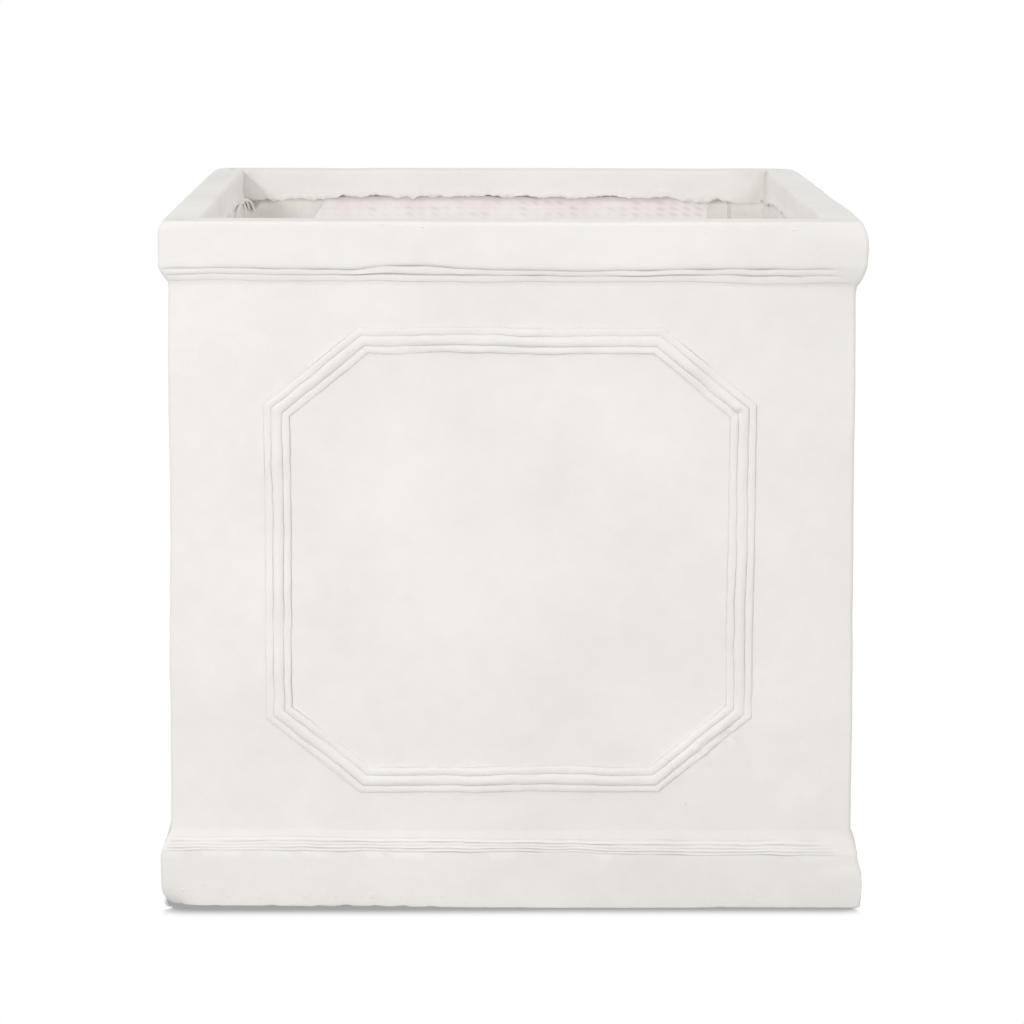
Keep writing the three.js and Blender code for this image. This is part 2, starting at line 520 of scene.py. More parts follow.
def scribed_rows(
    outline: list[Vector], lines: list[tuple[float, float]], first_line: int, gap: float, stepped: float = 0.0
) -> list[RowPoint]:
    """The rows of a moulding with its scribed lines.

    Args:
        outline: The moulding's outline, whose first point isn't among the rows.
        lines: Each line's height, in the order that the outline meets them, and its share of a line's depth.
        first_line: The number of the first line.
        gap: The greatest height between rows where there is no line.
        stepped: How upright the outline is between two lines, from 0 for as drawn to 1 for a stair.

    Returns:
        The rows, up to the outline's end.
    """
    start, end = outline[0].y, outline[-1].y
    way = math.copysign(1, end - start)
    rows, last = [], start
    middles = [middle for middle, _ in lines]

    def step(up: float) -> float:
        """How far the outline stands out at a height, to be upright between the lines on either side."""
        below, above = [m for m in middles if m < up], [m for m in middles if m >= up]
        if not below or not above:
            return 0.0
        return stepped * (out_at(outline, (max(below) + min(above)) / 2) - out_at(outline, up))

    def plain(to: float, number: int) -> list[RowPoint]:
        """The rows between two lines, which belong to the line of that number where they are stepped."""
        count = max(math.ceil(abs(to - last) / gap), 1)
        heights = [last + (to - last) * i / count for i in range(1, count)]
        return [
            RowPoint(out_at(outline, up), up, cut=-step(up), line=number if step(up) else 0) for up in heights
        ]

    for number, (middle, strength) in enumerate(lines, first_line):
        rows += plain(middle - way * SCRIBED.width / 2, number)
        for offset, depth in SCRIBED.section:
            up = middle + way * offset * SCRIBED.width
            cut = SCRIBED.depth * depth * strength - step(up)
            # Painted shade: a groove's rows take it as deep as they are cut.
            rows.append(RowPoint(out_at(outline, up), up, cut=cut, line=number, hollow=depth * strength))
        last = middle + way * SCRIBED.width / 2
    return rows + plain(end, 0) + [RowPoint(outline[-1].x, end)]


def straight_rows(start: RowPoint, end: RowPoint, steps: int) -> list[RowPoint]:
    """Evenly spaced rows from start to end, without the first."""
    return [
        RowPoint(
            start.out + (end.out - start.out) * i / steps,
            start.up + (end.up - start.up) * i / steps,
            hollow=start.hollow + (end.hollow - start.hollow) * i / steps,
            torn=start.torn + (end.torn - start.torn) * i / steps,
        )
        for i in range(1, steps + 1)
    ]


# ---- The cast slab ----


@dataclass
class PanelFrame:
    """The raised octagonal frame of three low ridges: a bead, a band and a bead. In millimetres."""

    half_width: float = 143.1
    half_height: float = 138.25
    cut_across: float = 55.0
    cut_up: float = 45.0
    # Each ridge's width and raise, from the outer edge in.
    ridges: tuple[tuple[float, float], ...] = ((4.3, 1.9), (6.2, 2.9), (4.3, 2.0))
    groove: float = 0.9  # how far the grooves between them stand above the face
    quirk: float = 0.4  # the depth of the shallow channel along either outer foot
    margin: float = 0.5  # its width
    fullness: float = 0.42  # 1 is a sine's half wave, and less is squarer
    steps: int = 10
    drift: tuple[Waver, ...] = (Waver(46, 1.0, 4.0), Waver(13, 0.5, 6.0), Waver(5, 0.25, 2.0))
    swell: Waver = Waver(24, 0.8 / MM, 15.0)
    swell_share: float = 0.9
    apart: float = 0.9  # how differently two neighbouring ridges waver
    eased: float = 1.5  # over how far the waver sets in at the outer edge
    eased_inside: float = 8.0  # and dies out past the inner one
    least_drift: float = 0.35

    def corners(self) -> list[Vector]:
        """The outer edge's eight corners on the slab's plane, anticlockwise as seen from the front."""
        x, z = self.half_width, self.half_height
        upper = [
            (x, z - self.cut_up),
            (x - self.cut_across, z),
            (self.cut_across - x, z),
            (-x, z - self.cut_up),
        ]
        return [Vector((a, 0, b)) * MM for a, b in upper + [(-a, -b) for a, b in upper]]

    def section(self) -> list[tuple[float, float]]:
        """The frame's section: distance in from the outer edge, and height above the face, in metres."""
        points, start = [], 0.0
        for width, rise in self.ridges:
            for i in range(1, self.steps + 1):
                share = (1 - math.cos(math.pi * i / self.steps)) / 2
                lift = max(math.sin(math.pi * share), 0.0) ** self.fullness
                points.append((start + width * share, self.groove + (rise - self.groove) * lift))
            start += width
        points[-1] = (start, -self.quirk)
        points = [(-self.margin, 0.0), (0.0, -self.quirk)] + points + [(start + self.margin, 0.0)]
        return [((a + self.margin) * MM, b * MM) for a, b in points]

    def inward(self, place: Vector) -> tuple[float, Vector]:
        """How far a point of the slab's plane is inside the outer edge, and the way further in."""
        corners = self.corners()
        best, way = math.inf, Vector((0, 0, 0))
        for a, b in zip(corners, corners[1:] + corners[:1]):
            along = (b - a).normalized()
            normal = Vector((-along.z, 0, along.x))
            away = (place - a).dot(normal)
            if away < best:
                best, way = away, normal
        return best, way

    def roughen(self, bm: BMesh, seed: float) -> None:
        """Lets each ridge and groove waver by itself, in place and in height.

        Args:
            bm: The frame's mesh, on the slab's plane about its middle.
            seed: What sets this side's frame off from the others.
        """
        whole = sum(width for width, _ in self.ridges) * MM
        eased = self.eased * MM
        for vert in bm.verts:
            away, way = self.inward(vert.co)
            share = smooth_step(-self.margin * MM, eased, away)
            share *= 1 - smooth_step(whole - eased, whole + self.eased_inside * MM, away)
            if share <= 0:
                continue
            sample = vert.co + Vector((0, self.apart * away + seed, 0))
            vert.co.y *= 1 + self.swell_share * self.swell.level(sample)
            vert.co += way * sum(waver.level(sample) for waver in self.drift) * max(share, self.least_drift)


@dataclass(frozen=True)
class Handwork:
    """How the hand left a slab's lines, lip, foot and patches. Lengths are in millimetres."""

    slow: Waver = Waver(70, 1.3, 5.0)  # a scribed line's long waves, and then its short ones
    quick: Waver = Waver(16, 0.6, 8.0)
    slow_spread: float = 5.0  # how soon, going up, the next line's waves differ
    quick_spread: float = 2.2
    rim_lead: float = 12.0  # how far below the face's head the rim's lines begin to carry it along
    rim_wane: tuple[float, float] = (384, 396)  # the heights between which they cease to
    plinth_lead: tuple[float, float] = (20, 31)  # the same for the plinth's
    plinth_wane: tuple[float, float] = (42, 54)
    swerve_height: float = 3.2  # how far above and below a line its swerve is felt
    scallop: Waver = Waver(20, 2.4, 2.0)  # the torn lip's bites, its crumbs and its grit
    crumb: Waver = Waver(6, 1.5, 6.0)
    grit: Waver = Waver(2.4, 1.0, 4.0)
    untorn: float = 22.0  # how far from the mitre the lip is still less torn
    grime: tuple[float, float] = (1.0, 27.0)  # how far from the corner the lip's painted corner shade starts to fade and has gone
    grime_patch: float = 9.0
    lump: Waver = Waver(5, 1.0, 51.0)  # a rough patch's lumps and sand
    sand: Waver = Waver(2.4, 0.5, 53.0)
    foot: float = 7.0  # up to where the foot is worn
    worn_from: float = 0.28  # as shares of half a side: where from the middle the foot's wear begins
    worn_over: float = 1.15  # and over how far it becomes whole
    rub_limit: float = 2.6  # a rub is felt no further than this many times its reach


@dataclass
class CastSlab:
    """One side of the box: rim, lip, scribed mouldings, panel frame and plinth in one casting.

    It is modelled at the front and turned to its side before it is worn, because the wear follows the place.
    """

    side: Side
    material: bpy.types.Material
    sizes: BoxSizes
    # Lengths are in millimetres, and a pair is for the left and the right end.
    slip: tuple[float, float] = (0.0, 0.0)  # how far the frame was set from the middle, across and up
    line_fall: float = 0.0  # how far the plinth's lines fall from left to right
    marks: tuple[Mark, ...] = ()
    # Each scribed line's height, and its share of a line's depth.
    rim_lines: tuple[tuple[float, float], ...] = ((373.2, 0.35), (377.1, 0.85), (380.6, 0.85))
    plinth_lines: tuple[tuple[float, float], ...] = (
        (42.0, 0.4),
        (39.6, 0.8),
        (37.8, 0.6),
        (36.0, 0.9),
        (34.3, 0.9),
    )
    swerves: tuple[Swerve, ...] = ()
    patches: tuple[Rough, ...] = ()
    foot_wear: tuple[float, float] = (0.0, 0.0)  # how high the foot's arris is worn up
    lip_fall: tuple[float, float] = (0.0, 0.0)  # how far the lip's foot hangs lower
    lip_level: float = 60.0  # how far from the middle it starts to fall
    lip_tear: float = 1.0  # how ragged the lip's foot is
    grime: tuple[float, float] = (0.0, 0.0)  # how much painted shade the lip takes in its corners, at the left and the right end
    # The lip's foot, row by row: out from its face, up from its lowest line, torn, and the painted shade that
    # it takes under the lip.
    lip_foot: tuple[tuple[float, float, float, float], ...] = (
        (-0.1, 2.2, 0.5, 0.0),
        (-0.5, 1.1, 0.8, 0.0),
        (-0.7, 0.0, 0.95, 0.0),
        (-0.5, -1.0, 1.0, 0.0),
        (0.2, -1.7, 1.0, 0.1),
        (1.1, -1.8, 0.9, 0.4),
        (2.2, -1.4, 0.6, 0.8),
    )
    hand: Handwork = field(default_factory=Handwork)
    frame: PanelFrame = field(default_factory=PanelFrame)
    across: int = 96  # divisions of the frame's top
    upright: int = 90  # of its sides
    slanted: int = 40  # of its cut corners
    spread: int = 8  # rings between the frame and the face's border
    corner_steps: tuple[float, ...] = (4, 8, 13, 18, 24, 30, 36, 41, 44.4, 45)  # degrees of the corner's turn

    def __post_init__(self) -> None:
        """Works out which way the slab faces, and the radius at either end."""
        self.outward, self.along = self.side.outward, self.side.along
        self.right_radius = self.side.right_corner.radius
        self.left_radius = self.side.left_corner.radius

    def reach(self, out: float) -> tuple[float, float]:
        """The ends in x of the straight run at a distance from the axis, left and right."""
        return self.left_radius - out, out - self.right_radius

    # -- The face and its frame --

    def build_face(self, bm: BMesh) -> None:
        """Makes the frame, the field inside it and the plain face round it, up to the face's border."""
        circle = bmesh.ops.create_circle(bm, cap_ends=True, segments=8, radius=1.0)["verts"]
        for vert, place in zip(circle, self.frame.corners()):
            vert.co = place
        middle = bm.faces[:][0]
        middle.normal_update()
        last = (0.0, 0.0)
        for step in self.frame.section()[1:]:
            inward, up = step[0] - last[0], step[1] - last[1]
            bmesh.ops.inset_region(
                bm, faces=[middle], thickness=inward, depth=up, use_even_offset=True, use_boundary=True
            )
            last = step
        bmesh.ops.delete(bm, geom=[middle], context="FACES_ONLY")
        self.divide_rings(bm)
        self.fill_field(bm)
        middle_up = (self.sizes.face_top + self.sizes.face_foot) / 2
        centre = Vector((self.slip[0] * MM, 0, middle_up + self.slip[1] * MM))
        flat = {vert: vert.co.copy() for vert in bm.verts if vert.is_boundary}
        self.frame.roughen(bm, 0.3 * self.side.value)
        for vert, place in flat.items():
            vert.co = place
        bmesh.ops.translate(bm, verts=bm.verts, vec=centre)
        border = [edge for edge in bm.edges if edge.is_boundary]
        outer = next_row(bm, border, lambda place: self.on_border(place, centre))
        on_outer = {vert for edge in outer for vert in edge.verts}
        spokes = {edge for vert in on_outer for edge in vert.link_edges} - set(outer)
        bmesh.ops.subdivide_edges(bm, edges=list(spokes), cuts=self.spread - 1, use_grid_fill=True)
        for vert in bm.verts:
            vert.co.y -= self.sizes.face_out(vert.co.z)

    def divide_rings(self, bm: BMesh) -> None:
        """Divides each ring's long edges, so that the frame can waver along its length."""
        shortest = 20 * MM
        long = [edge for edge in bm.edges if edge.calc_length() > shortest]
        run = {edge: edge.verts[0].co - edge.verts[1].co for edge in long}
        level = [edge for edge in long if abs(run[edge].z) < NEAR]
        upright = [edge for edge in long if abs(run[edge].x) < NEAR]
        slanted = [edge for edge in long if edge not in set(level) | set(upright)]
        for edges, parts in ((level, self.across), (upright, self.upright), (slanted, self.slanted)):
            bmesh.ops.subdivide_edges(bm, edges=edges, cuts=parts - 1, use_grid_fill=True)

    def fill_field(self, bm: BMesh) -> None:
        """Fills the hole inside the frame's innermost ring with a grid."""
        well_in = 5 * MM  # only the inner border is so far inside the frame's outer edge
        border = [edge for edge in bm.edges if edge.is_boundary]
        ring = [edge for edge in border if self.frame.inward(edge.verts[0].co)[0] > well_in]
        verts = {vert for edge in ring for vert in edge.verts}
        top = max(vert.co.z for vert in verts)
        side = max(vert.co.x for vert in verts)
        top_end = max(vert.co.x for vert in verts if vert.co.z > top - NEAR)
        side_end = max(vert.co.z for vert in verts if vert.co.x > side - NEAR)
        split = (top + side_end) / (side + top_end)  # the slope through the middle of a cut corner

        def is_level(edge: BMEdge) -> bool:
            """Whether an edge is in the upper or lower quarter of the ring."""
            middle = (edge.verts[0].co + edge.verts[1].co) / 2
            return abs(middle.z) > split * abs(middle.x)

        rails = [edge for edge in ring if is_level(edge)]
        bmesh.ops.grid_fill(bm, edges=rails, use_smooth=True, use_interp_simple=False)

    def on_border(self, place: Vector, centre: Vector) -> Vector:
        """Where a point of the frame's outer edge meets the border of the plain face.

        Args:
            place: The point, on the slab's plane.
            centre: The frame's middle.

        Returns:
            The point of the border that belongs to it, evenly spaced along each of its sides.
        """
        local = (place - centre) / MM
        sizes = self.frame
        top_end = sizes.half_width - sizes.cut_across
        side_end = sizes.half_height - sizes.cut_up
        # How far round the quarter from the top's middle, counted in divisions.
        if sizes.half_height - abs(local.z) < NEAR / MM:
            count = self.across / 2 * abs(local.x) / top_end
        elif sizes.half_width - abs(local.x) < NEAR / MM:
            count = self.across / 2 + self.slanted + self.upright / 2 * (1 - abs(local.z) / side_end)
        else:
            count = self.across / 2 + self.slanted * (abs(local.x) - top_end) / sizes.cut_across
        on_top = (self.across + self.slanted) / 2
        on_side = (self.upright + self.slanted) / 2
        share_x = min(count / on_top, 1.0)
        share_z = min((on_top + on_side - count) / on_side, 1.0)
        up = (self.sizes.face_top + self.sizes.face_foot) / 2
        half = (self.sizes.face_top - self.sizes.face_foot) / 2
        z = up + math.copysign(half * share_z, local.z)
        left, right = self.reach(self.sizes.face_out(z))
        across = (right + left) / 2 + math.copysign((right - left) / 2 * share_x, local.x)
        return Vector((across, 0, z))

    # -- The mouldings above and below --

    def upper_rows(self) -> list[RowPoint]:
        """The rows from the face's head over the rim and the lip to the head of the inner face."""
        s = self.sizes
        outline = eased_outline(
            [
                Knee(s.face_out(s.face_top), s.face_top),
                Knee(s.rim_out, s.height - s.rim_band - 1.2 * MM, 8 * MM),
                Knee(s.rim_out + 0.1 * MM, s.height - 4 * MM),
            ]
        )
        rows = scribed_rows(outline, [(up * MM, share) for up, share in self.rim_lines], 1, 1.6 * MM, 0.7)
        arris = eased_outline(
            [
                Knee(s.rim_out, s.height - 4 * MM),
                Knee(s.rim_out, s.height, 2.2 * MM),
                Knee(s.lip_out + 0.2 * MM, s.height, 2.6 * MM),
                Knee(s.lip_out, s.height - 4 * MM),
            ]
        )
        arc = len(arris) // 2
        rows += [RowPoint(point.x, point.y) for point in arris[1:arc]]
        rows += straight_rows(rows[-1], RowPoint(arris[arc].x, arris[arc].y), 6)
        rows += [RowPoint(point.x, point.y) for point in arris[arc + 1 :]]
        foot = s.height - s.lip_depth + 1.6 * MM
        rows += straight_rows(rows[-1], RowPoint(s.lip_out + 0.3 * MM, foot + 3.4 * MM, torn=0.25), 4)
        rows += [
            RowPoint(s.lip_out + out * MM, foot + up * MM, torn=torn, hollow=hollow)
            for out, up, torn, hollow in self.lip_foot
        ]
        # The recess behind the lip's foot takes painted shade.
        return rows + [RowPoint(s.inner_out, foot - 1.4 * MM, torn=0.3, hollow=0.8)]

    def lower_rows(self) -> list[RowPoint]:
        """The rows from the face's foot down the plinth and under it to the foot of the inner face."""
        s = self.sizes
        outline = eased_outline(
            [
                Knee(s.face_out(s.face_foot), s.face_foot),
                Knee(s.plinth_out - 0.4 * MM, s.plinth_band + 3.4 * MM, 7 * MM),
                Knee(s.plinth_out - 0.5 * MM, 6 * MM),
            ]
        )
        lines = [(up * MM, share) for up, share in self.plinth_lines]
        rows = scribed_rows(outline, lines, len(self.rim_lines) + 1, 4 * MM)
        arris = eased_outline(
            [
                Knee(s.plinth_out - 0.5 * MM, 6 * MM),
                Knee(s.plinth_out - 0.5 * MM, 0, 1.3 * MM),
                Knee(s.foot_out, 0),
            ]
        )
        rows += [RowPoint(point.x, point.y) for point in arris[1:-1]]
        rows += straight_rows(rows[-1], RowPoint(s.foot_out, 0.0), 4)
        return rows + [RowPoint(s.foot_out, s.foot_height), RowPoint(s.inner_out, s.foot_height)]

    def line_strength(self, line: int, x: float, out: float) -> float:
        """How deep a scribed line is at a place, as a share: it dies out in the rubbed joint at the right.

        Args:
            line: The line's number, or 0.
            x: The place along the side.
            out: The row's distance from the axis.

        Returns:
            The share of its whole depth.
        """
        if not line:
            return 0.0
        own = noise.noise(Vector((0.5 + 0.37 * line, 0.5 + 11.0 * self.side.value, 0.5)))
        # The lowest line under the rim was drawn last and further into the joint.
        right_end = self.side.right_corner.rubbed * (1 + 0.4 * own) * (0.3 if line == 1 else 1.0)
        left_end = self.side.left_corner.rubbed * (1 - 0.5 * own)
        right = smooth_step(right_end, right_end + SCRIBED.right_start, out - x)
        slow = smooth_step(right_end, right_end + SCRIBED.right_run, out - x)
        right *= 1 - SCRIBED.right_gain + SCRIBED.right_gain * slow
        left = smooth_step(left_end, left_end + SCRIBED.left_start, out + x)
        left *= 1 - SCRIBED.left_gain + SCRIBED.left_gain * smooth_step(*SCRIBED.left_run, out + x)
        middle, swing = SCRIBED.press
        pressed = middle + swing * noise.noise(Vector((x / SCRIBED.beat, 2.3 * line, self.side.value)))
        return right * left * min(pressed, SCRIBED.hardest)

    def build_rows(self, bm: BMesh, edges: list[BMEdge], rows: list[RowPoint]) -> list[BMEdge]:
        """Extrudes the face's border through the rows of a moulding.

        Args:
            bm: The mesh.
            edges: The border's edges.
            rows: The moulding's rows.

        Returns:
            The last row's edges.
        """
        shade_layer = bm.verts.layers.float["hollow"]
        torn_layer = bm.verts.layers.float["torn"]
        out = -next(iter(edges)).verts[0].co.y
        for row in rows:
            old, new = self.reach(out), self.reach(row.out)

            def place(at: Vector, old=old, new=new, row=row) -> Vector:
                """Where a point of the last row comes in this one."""
                x = new[0] + (at.x - old[0]) / (old[1] - old[0]) * (new[1] - new[0])
                depth = row.cut * self.line_strength(row.line, x, row.out)
                return Vector((x, depth - row.out, row.up))

            edges = next_row(bm, edges, place)
            for vert in {vert for edge in edges for vert in edge.verts}:
                # Painted shade in the grooves and under the lip, row by row, thinned where a line dies out.
                vert[shade_layer] = row.hollow
                if row.line:
                    vert[shade_layer] *= min(self.line_strength(row.line, vert.co.x, row.out), 1.0)
                vert[torn_layer] = row.torn
            out = row.out
        return edges

    # -- The ends --

    def build_ends(self, bm: BMesh) -> None:
        """Carries both ends round the rounded corners to the mitres and closes them."""
        # Each point remembers where the straight run ended, and an extrusion passes that on.
        first = bm.verts.layers.float_vector.new("first")
        for hand, radius in ((1, self.right_radius), (-1, self.left_radius)):
            ends = [edge for edge in bm.edges if edge.verts[0].co.x * hand > 0 and self.is_end(edge)]
            for vert in {vert for edge in ends for vert in edge.verts}:
                vert[first] = vert.co
            for degrees in self.corner_steps:
                ends = next_row(bm, ends, Vector.copy)
                for vert in {vert for edge in ends for vert in edge.verts}:
                    vert.co = self.round_corner(vert[first], hand, radius, math.radians(degrees))
            bmesh.ops.contextual_create(bm, geom=ends)
        bm.verts.layers.float_vector.remove(first)

    def is_end(self, edge: BMEdge) -> bool:
        """Whether an edge is part of the outline at an end, and not of the long open border of the face."""
        run = edge.verts[0].co - edge.verts[1].co
        return len(edge.link_faces) < 2 and abs(run.x) < abs(run.y) + abs(run.z) + NEAR

    def round_corner(self, first: Vector, hand: int, radius: float, turn: float) -> Vector:
        """Where a point at the straight run's end comes, part of the way round the corner.

        Args:
            first: The point at the end of the straight run.
            hand: 1 at the right end and -1 at the left.
            radius: The corner's plan radius.
            turn: The angle turned, up to an eighth of a full turn.

        Returns:
            The new place.
        """
        out = -first.y
        is_outside = out > (self.sizes.inner_out + self.sizes.body_top_out) / 2
        centre = out - radius
        if is_outside:
            x, y = centre + radius * math.sin(turn), centre + radius * math.cos(turn)
            return Vector((hand * x, -y, first.z))
        return Vector((hand * (centre + radius * turn / math.radians(45)), -out, first.z))

    # -- Wear --

    def strike_marks(self, bm: BMesh) -> None:
        """Presses each pit and nick into the face that lies nearest to it."""
        outside = [face for face in bm.faces if face.calc_center_median().y < -self.sizes.body_top_out]
        tree = kdtree.KDTree(len(outside))
        for i, face in enumerate(outside):
            tree.insert(face.calc_center_median(), i)
        tree.balance()
        least, rim, floor = 0.12, 0.2, 0.7  # an edge kept round it, its sloping wall, and how deep that goes
        struck = set()
        for mark in self.marks:
            up = mark.up * MM
            out = self.sizes.rim_out if up > self.sizes.face_top else self.sizes.face_out(up)
            index = tree.find(Vector((mark.across * MM, -out, up)))[1]
            if index in struck:
                continue
            struck.add(index)
            pressed = [outside[index]]
            size = math.sqrt(pressed[0].calc_area())
            width, depth = mark.width * MM, mark.depth * MM
            inset = max((size - width) / 2, least * size)
            bmesh.ops.inset_individual(bm, faces=pressed, thickness=inset, depth=0.0, use_even_offset=True)
            bmesh.ops.inset_individual(
                bm, faces=pressed, thickness=rim * width, depth=-floor * depth, use_even_offset=True
            )
            bmesh.ops.poke(bm, faces=pressed, offset=(floor - 1) * depth)

    def line_shift(self, place: Vector, side: float) -> float:
        """How far the scribed lines are above their level at a place, fading out above and below them.

        Args:
            place: The point.
            side: Its place along the slab.

        Returns:
            The rise, in metres.
        """
        s, hand, z = self.sizes, self.hand, place.z
        lead, wane, fall = hand.plinth_lead, hand.plinth_wane, self.line_fall * MM * side / (2 * s.plinth_out)
        starts, whole = lead[0] * MM, lead[1] * MM
        if z > s.face_top - hand.rim_lead * MM:
            starts, whole, wane, fall = s.face_top - hand.rim_lead * MM, s.face_top, hand.rim_wane, 0.0
        zone = smooth_step(starts, whole, z) * (1 - smooth_step(wane[0] * MM, wane[1] * MM, z))
        if zone <= 0:
            return 0.0
        rise = hand.slow.level(Vector((place.x, place.y, z * hand.slow_spread)))
        rise += hand.quick.level(Vector((place.x, place.y, z * hand.quick_spread)))
        for swerve in self.swerves:
            off = (side - swerve.across * MM) / (swerve.width * MM)
            lift = (z - swerve.up * MM) / (hand.swerve_height * MM)
            rise += swerve.rise * MM * math.exp(-off * off - lift * lift)
        return (rise - fall) * zone

    def wear_outside(self, shift: Vector, place: Vector, side: float, out: float, rubs: list[Rub]) -> None:
        """Adds the wear of the slab's outside to a point's shift.

        Args:
            shift: The shift so far, which is changed.
            place: The point.
            side: Its place along the slab.
            out: Its distance from the axis.
            rubs: The rubbed places that the slab has a part in.
        """
        hand = self.hand
        shift.z += self.line_shift(place, side)
        for rub in rubs:
            if abs(place.z - rub.up * MM) < hand.rub_limit * rub.reach_up * MM:
                shift += rub.shift(place, out)
        for patch in self.patches:
            away = math.hypot(side - patch.across * MM, place.z - patch.up * MM) / (patch.radius * MM)
            if away < 1:
                share = (1 - away * away) * patch.reach
                shift += self.outward * share * (hand.lump.level(place) + hand.sand.level(place))
        if place.z < hand.foot * MM:
            low = 1 - place.z / (hand.foot * MM)
            along = side / self.sizes.plinth_out
            worn = sum(
                wear * min(max((hand.worn_from + way * along) / hand.worn_over, 0.0), 1.0)
                for wear, way in zip(self.foot_wear, (-1, 1))
            )
            # Only the deeper crumbs are lost, and more of them where the foot is worn.
            crumbs = max(hand.crumb.level(place * 0.7) - 0.1 * MM, 0) * (0.3 + 0.5 * worn)
            shift.z += low * (worn * MM + crumbs)

    def grime_at(self, place: Vector, side: float) -> float:
        """How much painted shade the lip takes at a place, darker towards its corners.

        Args:
            place: The point.
            side: Its place along the slab.

        Returns:
            The share of the painted shade colour.
        """
        starts, ends = (reach * MM for reach in self.hand.grime)
        spread = 1 - smooth_step(starts, ends, self.sizes.lip_out - abs(side))
        uneven = 0.7 + 0.9 * noise.noise(place / (self.hand.grime_patch * MM))
        return self.grime[0 if side < 0 else 1] * spread * uneven

    def tear_lip(self, shift: Vector, place: Vector, side: float, out: float, share: float) -> None:
        """Adds the lip's raggedness to a point's shift.

        Args:
            shift: The shift so far, which is changed.
            place: The point.
            side: Its place along the slab.
            out: Its distance from the axis.
            share: How much of the raggedness the point takes.
        """
        hand = self.hand
        ends = self.lip_fall[0 if side < 0 else 1]
        shift.z -= share * ends * MM * smooth_step(self.lip_level * MM, self.sizes.lip_out, abs(side))
        # It dies out towards the mitre, where it meets its neighbour's.
        torn = share * self.lip_tear * smooth_step(0.0, hand.untorn * MM, out - abs(side))
        flat = Vector((place.x, place.y, 0))
        shift.z += torn * (hand.scallop.level(flat) + hand.crumb.level(flat) - 0.4 * MM)
        shift += self.outward * torn * (hand.crumb.level(place) * 0.9 + hand.grit.level(place) * 1.1)
        shift.z += torn * hand.grit.level(place * 1.1)

    def wear(self, bm: BMesh) -> None:
        """Moves every point as the hand left it: lines waver, the lip is torn and nothing is quite flat."""
        s = self.sizes
        torn_layer = bm.verts.layers.float["torn"]
        shade_layer = bm.verts.layers.float["hollow"]
        body_out = (s.inner_out + s.body_top_out) / 2
        lip_back, lip_foot = s.lip_out + 2 * MM, s.height - s.lip_depth - 4 * MM
        arris_out = s.plinth_out - 8 * MM
        near = (self.side.right_corner, self.side.left_corner)
        rubs = [rub for rub in RUBS if rub.corner in near or rub.reach_along > s.plinth_out / MM]
        for vert in bm.verts:
            place = vert.co.copy()
            shift = HAND.shift(place)
            side, out = place.dot(self.along), place.dot(self.outward)
            if out > body_out:
                self.wear_outside(shift, place, side, out, rubs)
            elif out < lip_back and place.z > lip_foot:
                # Painted shade in the lip's inner corners.
                vert[shade_layer] = max(vert[shade_layer], self.grime_at(place, side))
            if vert[torn_layer]:
                self.tear_lip(shift, place, side, out, vert[torn_layer])
            if place.z < NEAR:  # the foot stands flat, but for its worn outer edge
                shift.z = max(shift.z, 0.0) if out > arris_out else 0.0
            vert.co = place + shift
            vert.co.z = min(max(vert.co.z, 0.0), s.height)
            vert.co.x = min(max(vert.co.x, -s.plinth_out), s.plinth_out)
            vert.co.y = min(max(vert.co.y, -s.plinth_out), s.plinth_out)

    def build(self) -> bpy.types.Object:
        """Builds the slab.

        Returns:
            The finished piece, in place.
        """
        bm = bmesh.new()
        bm.verts.layers.float.new("hollow")
        bm.verts.layers.float.new("torn")
        self.build_face(bm)
        s = self.sizes
        # The rest is built in a mesh of its own, because an operator takes longer the larger the mesh is.
        rest = bm.copy()
        bmesh.ops.delete(rest, geom=[vert for vert in rest.verts if not vert.is_boundary], context="VERTS")

        def lies_at(edge: BMEdge, height: float) -> bool:
            """Whether an edge lies at a height."""
            return all(abs(vert.co.z - height) < NEAR for vert in edge.verts)

        head = [edge for edge in rest.edges if lies_at(edge, s.face_top)]
        foot = [edge for edge in rest.edges if lies_at(edge, s.face_foot)]
        head = self.build_rows(rest, head, self.upper_rows())
        foot = self.build_rows(rest, foot, self.lower_rows())
        bridge = bmesh.ops.bridge_loops(rest, edges=head + foot)
        bmesh.ops.subdivide_edges(rest, edges=bridge["edges"], cuts=3, use_grid_fill=True)
        self.build_ends(rest)
        joined = bpy.data.meshes.new("rest")
        rest.to_mesh(joined)
        rest.free()
        bm.from_mesh(joined)
        bpy.data.meshes.remove(joined)
        seam = [vert for vert in bm.verts if vert.is_boundary]
        bmesh.ops.remove_doubles(bm, verts=seam, dist=NEAR)
        self.strike_marks(bm)
        bmesh.ops.transform(bm, matrix=self.side.turn, verts=bm.verts)
        self.wear(bm)
        name = f"{self.side.label}_cast_slab"
        return finished(name, bm, self.material, Slot.CEMENT, f"wall_{self.side.label}")


# ---- Inside the box ----


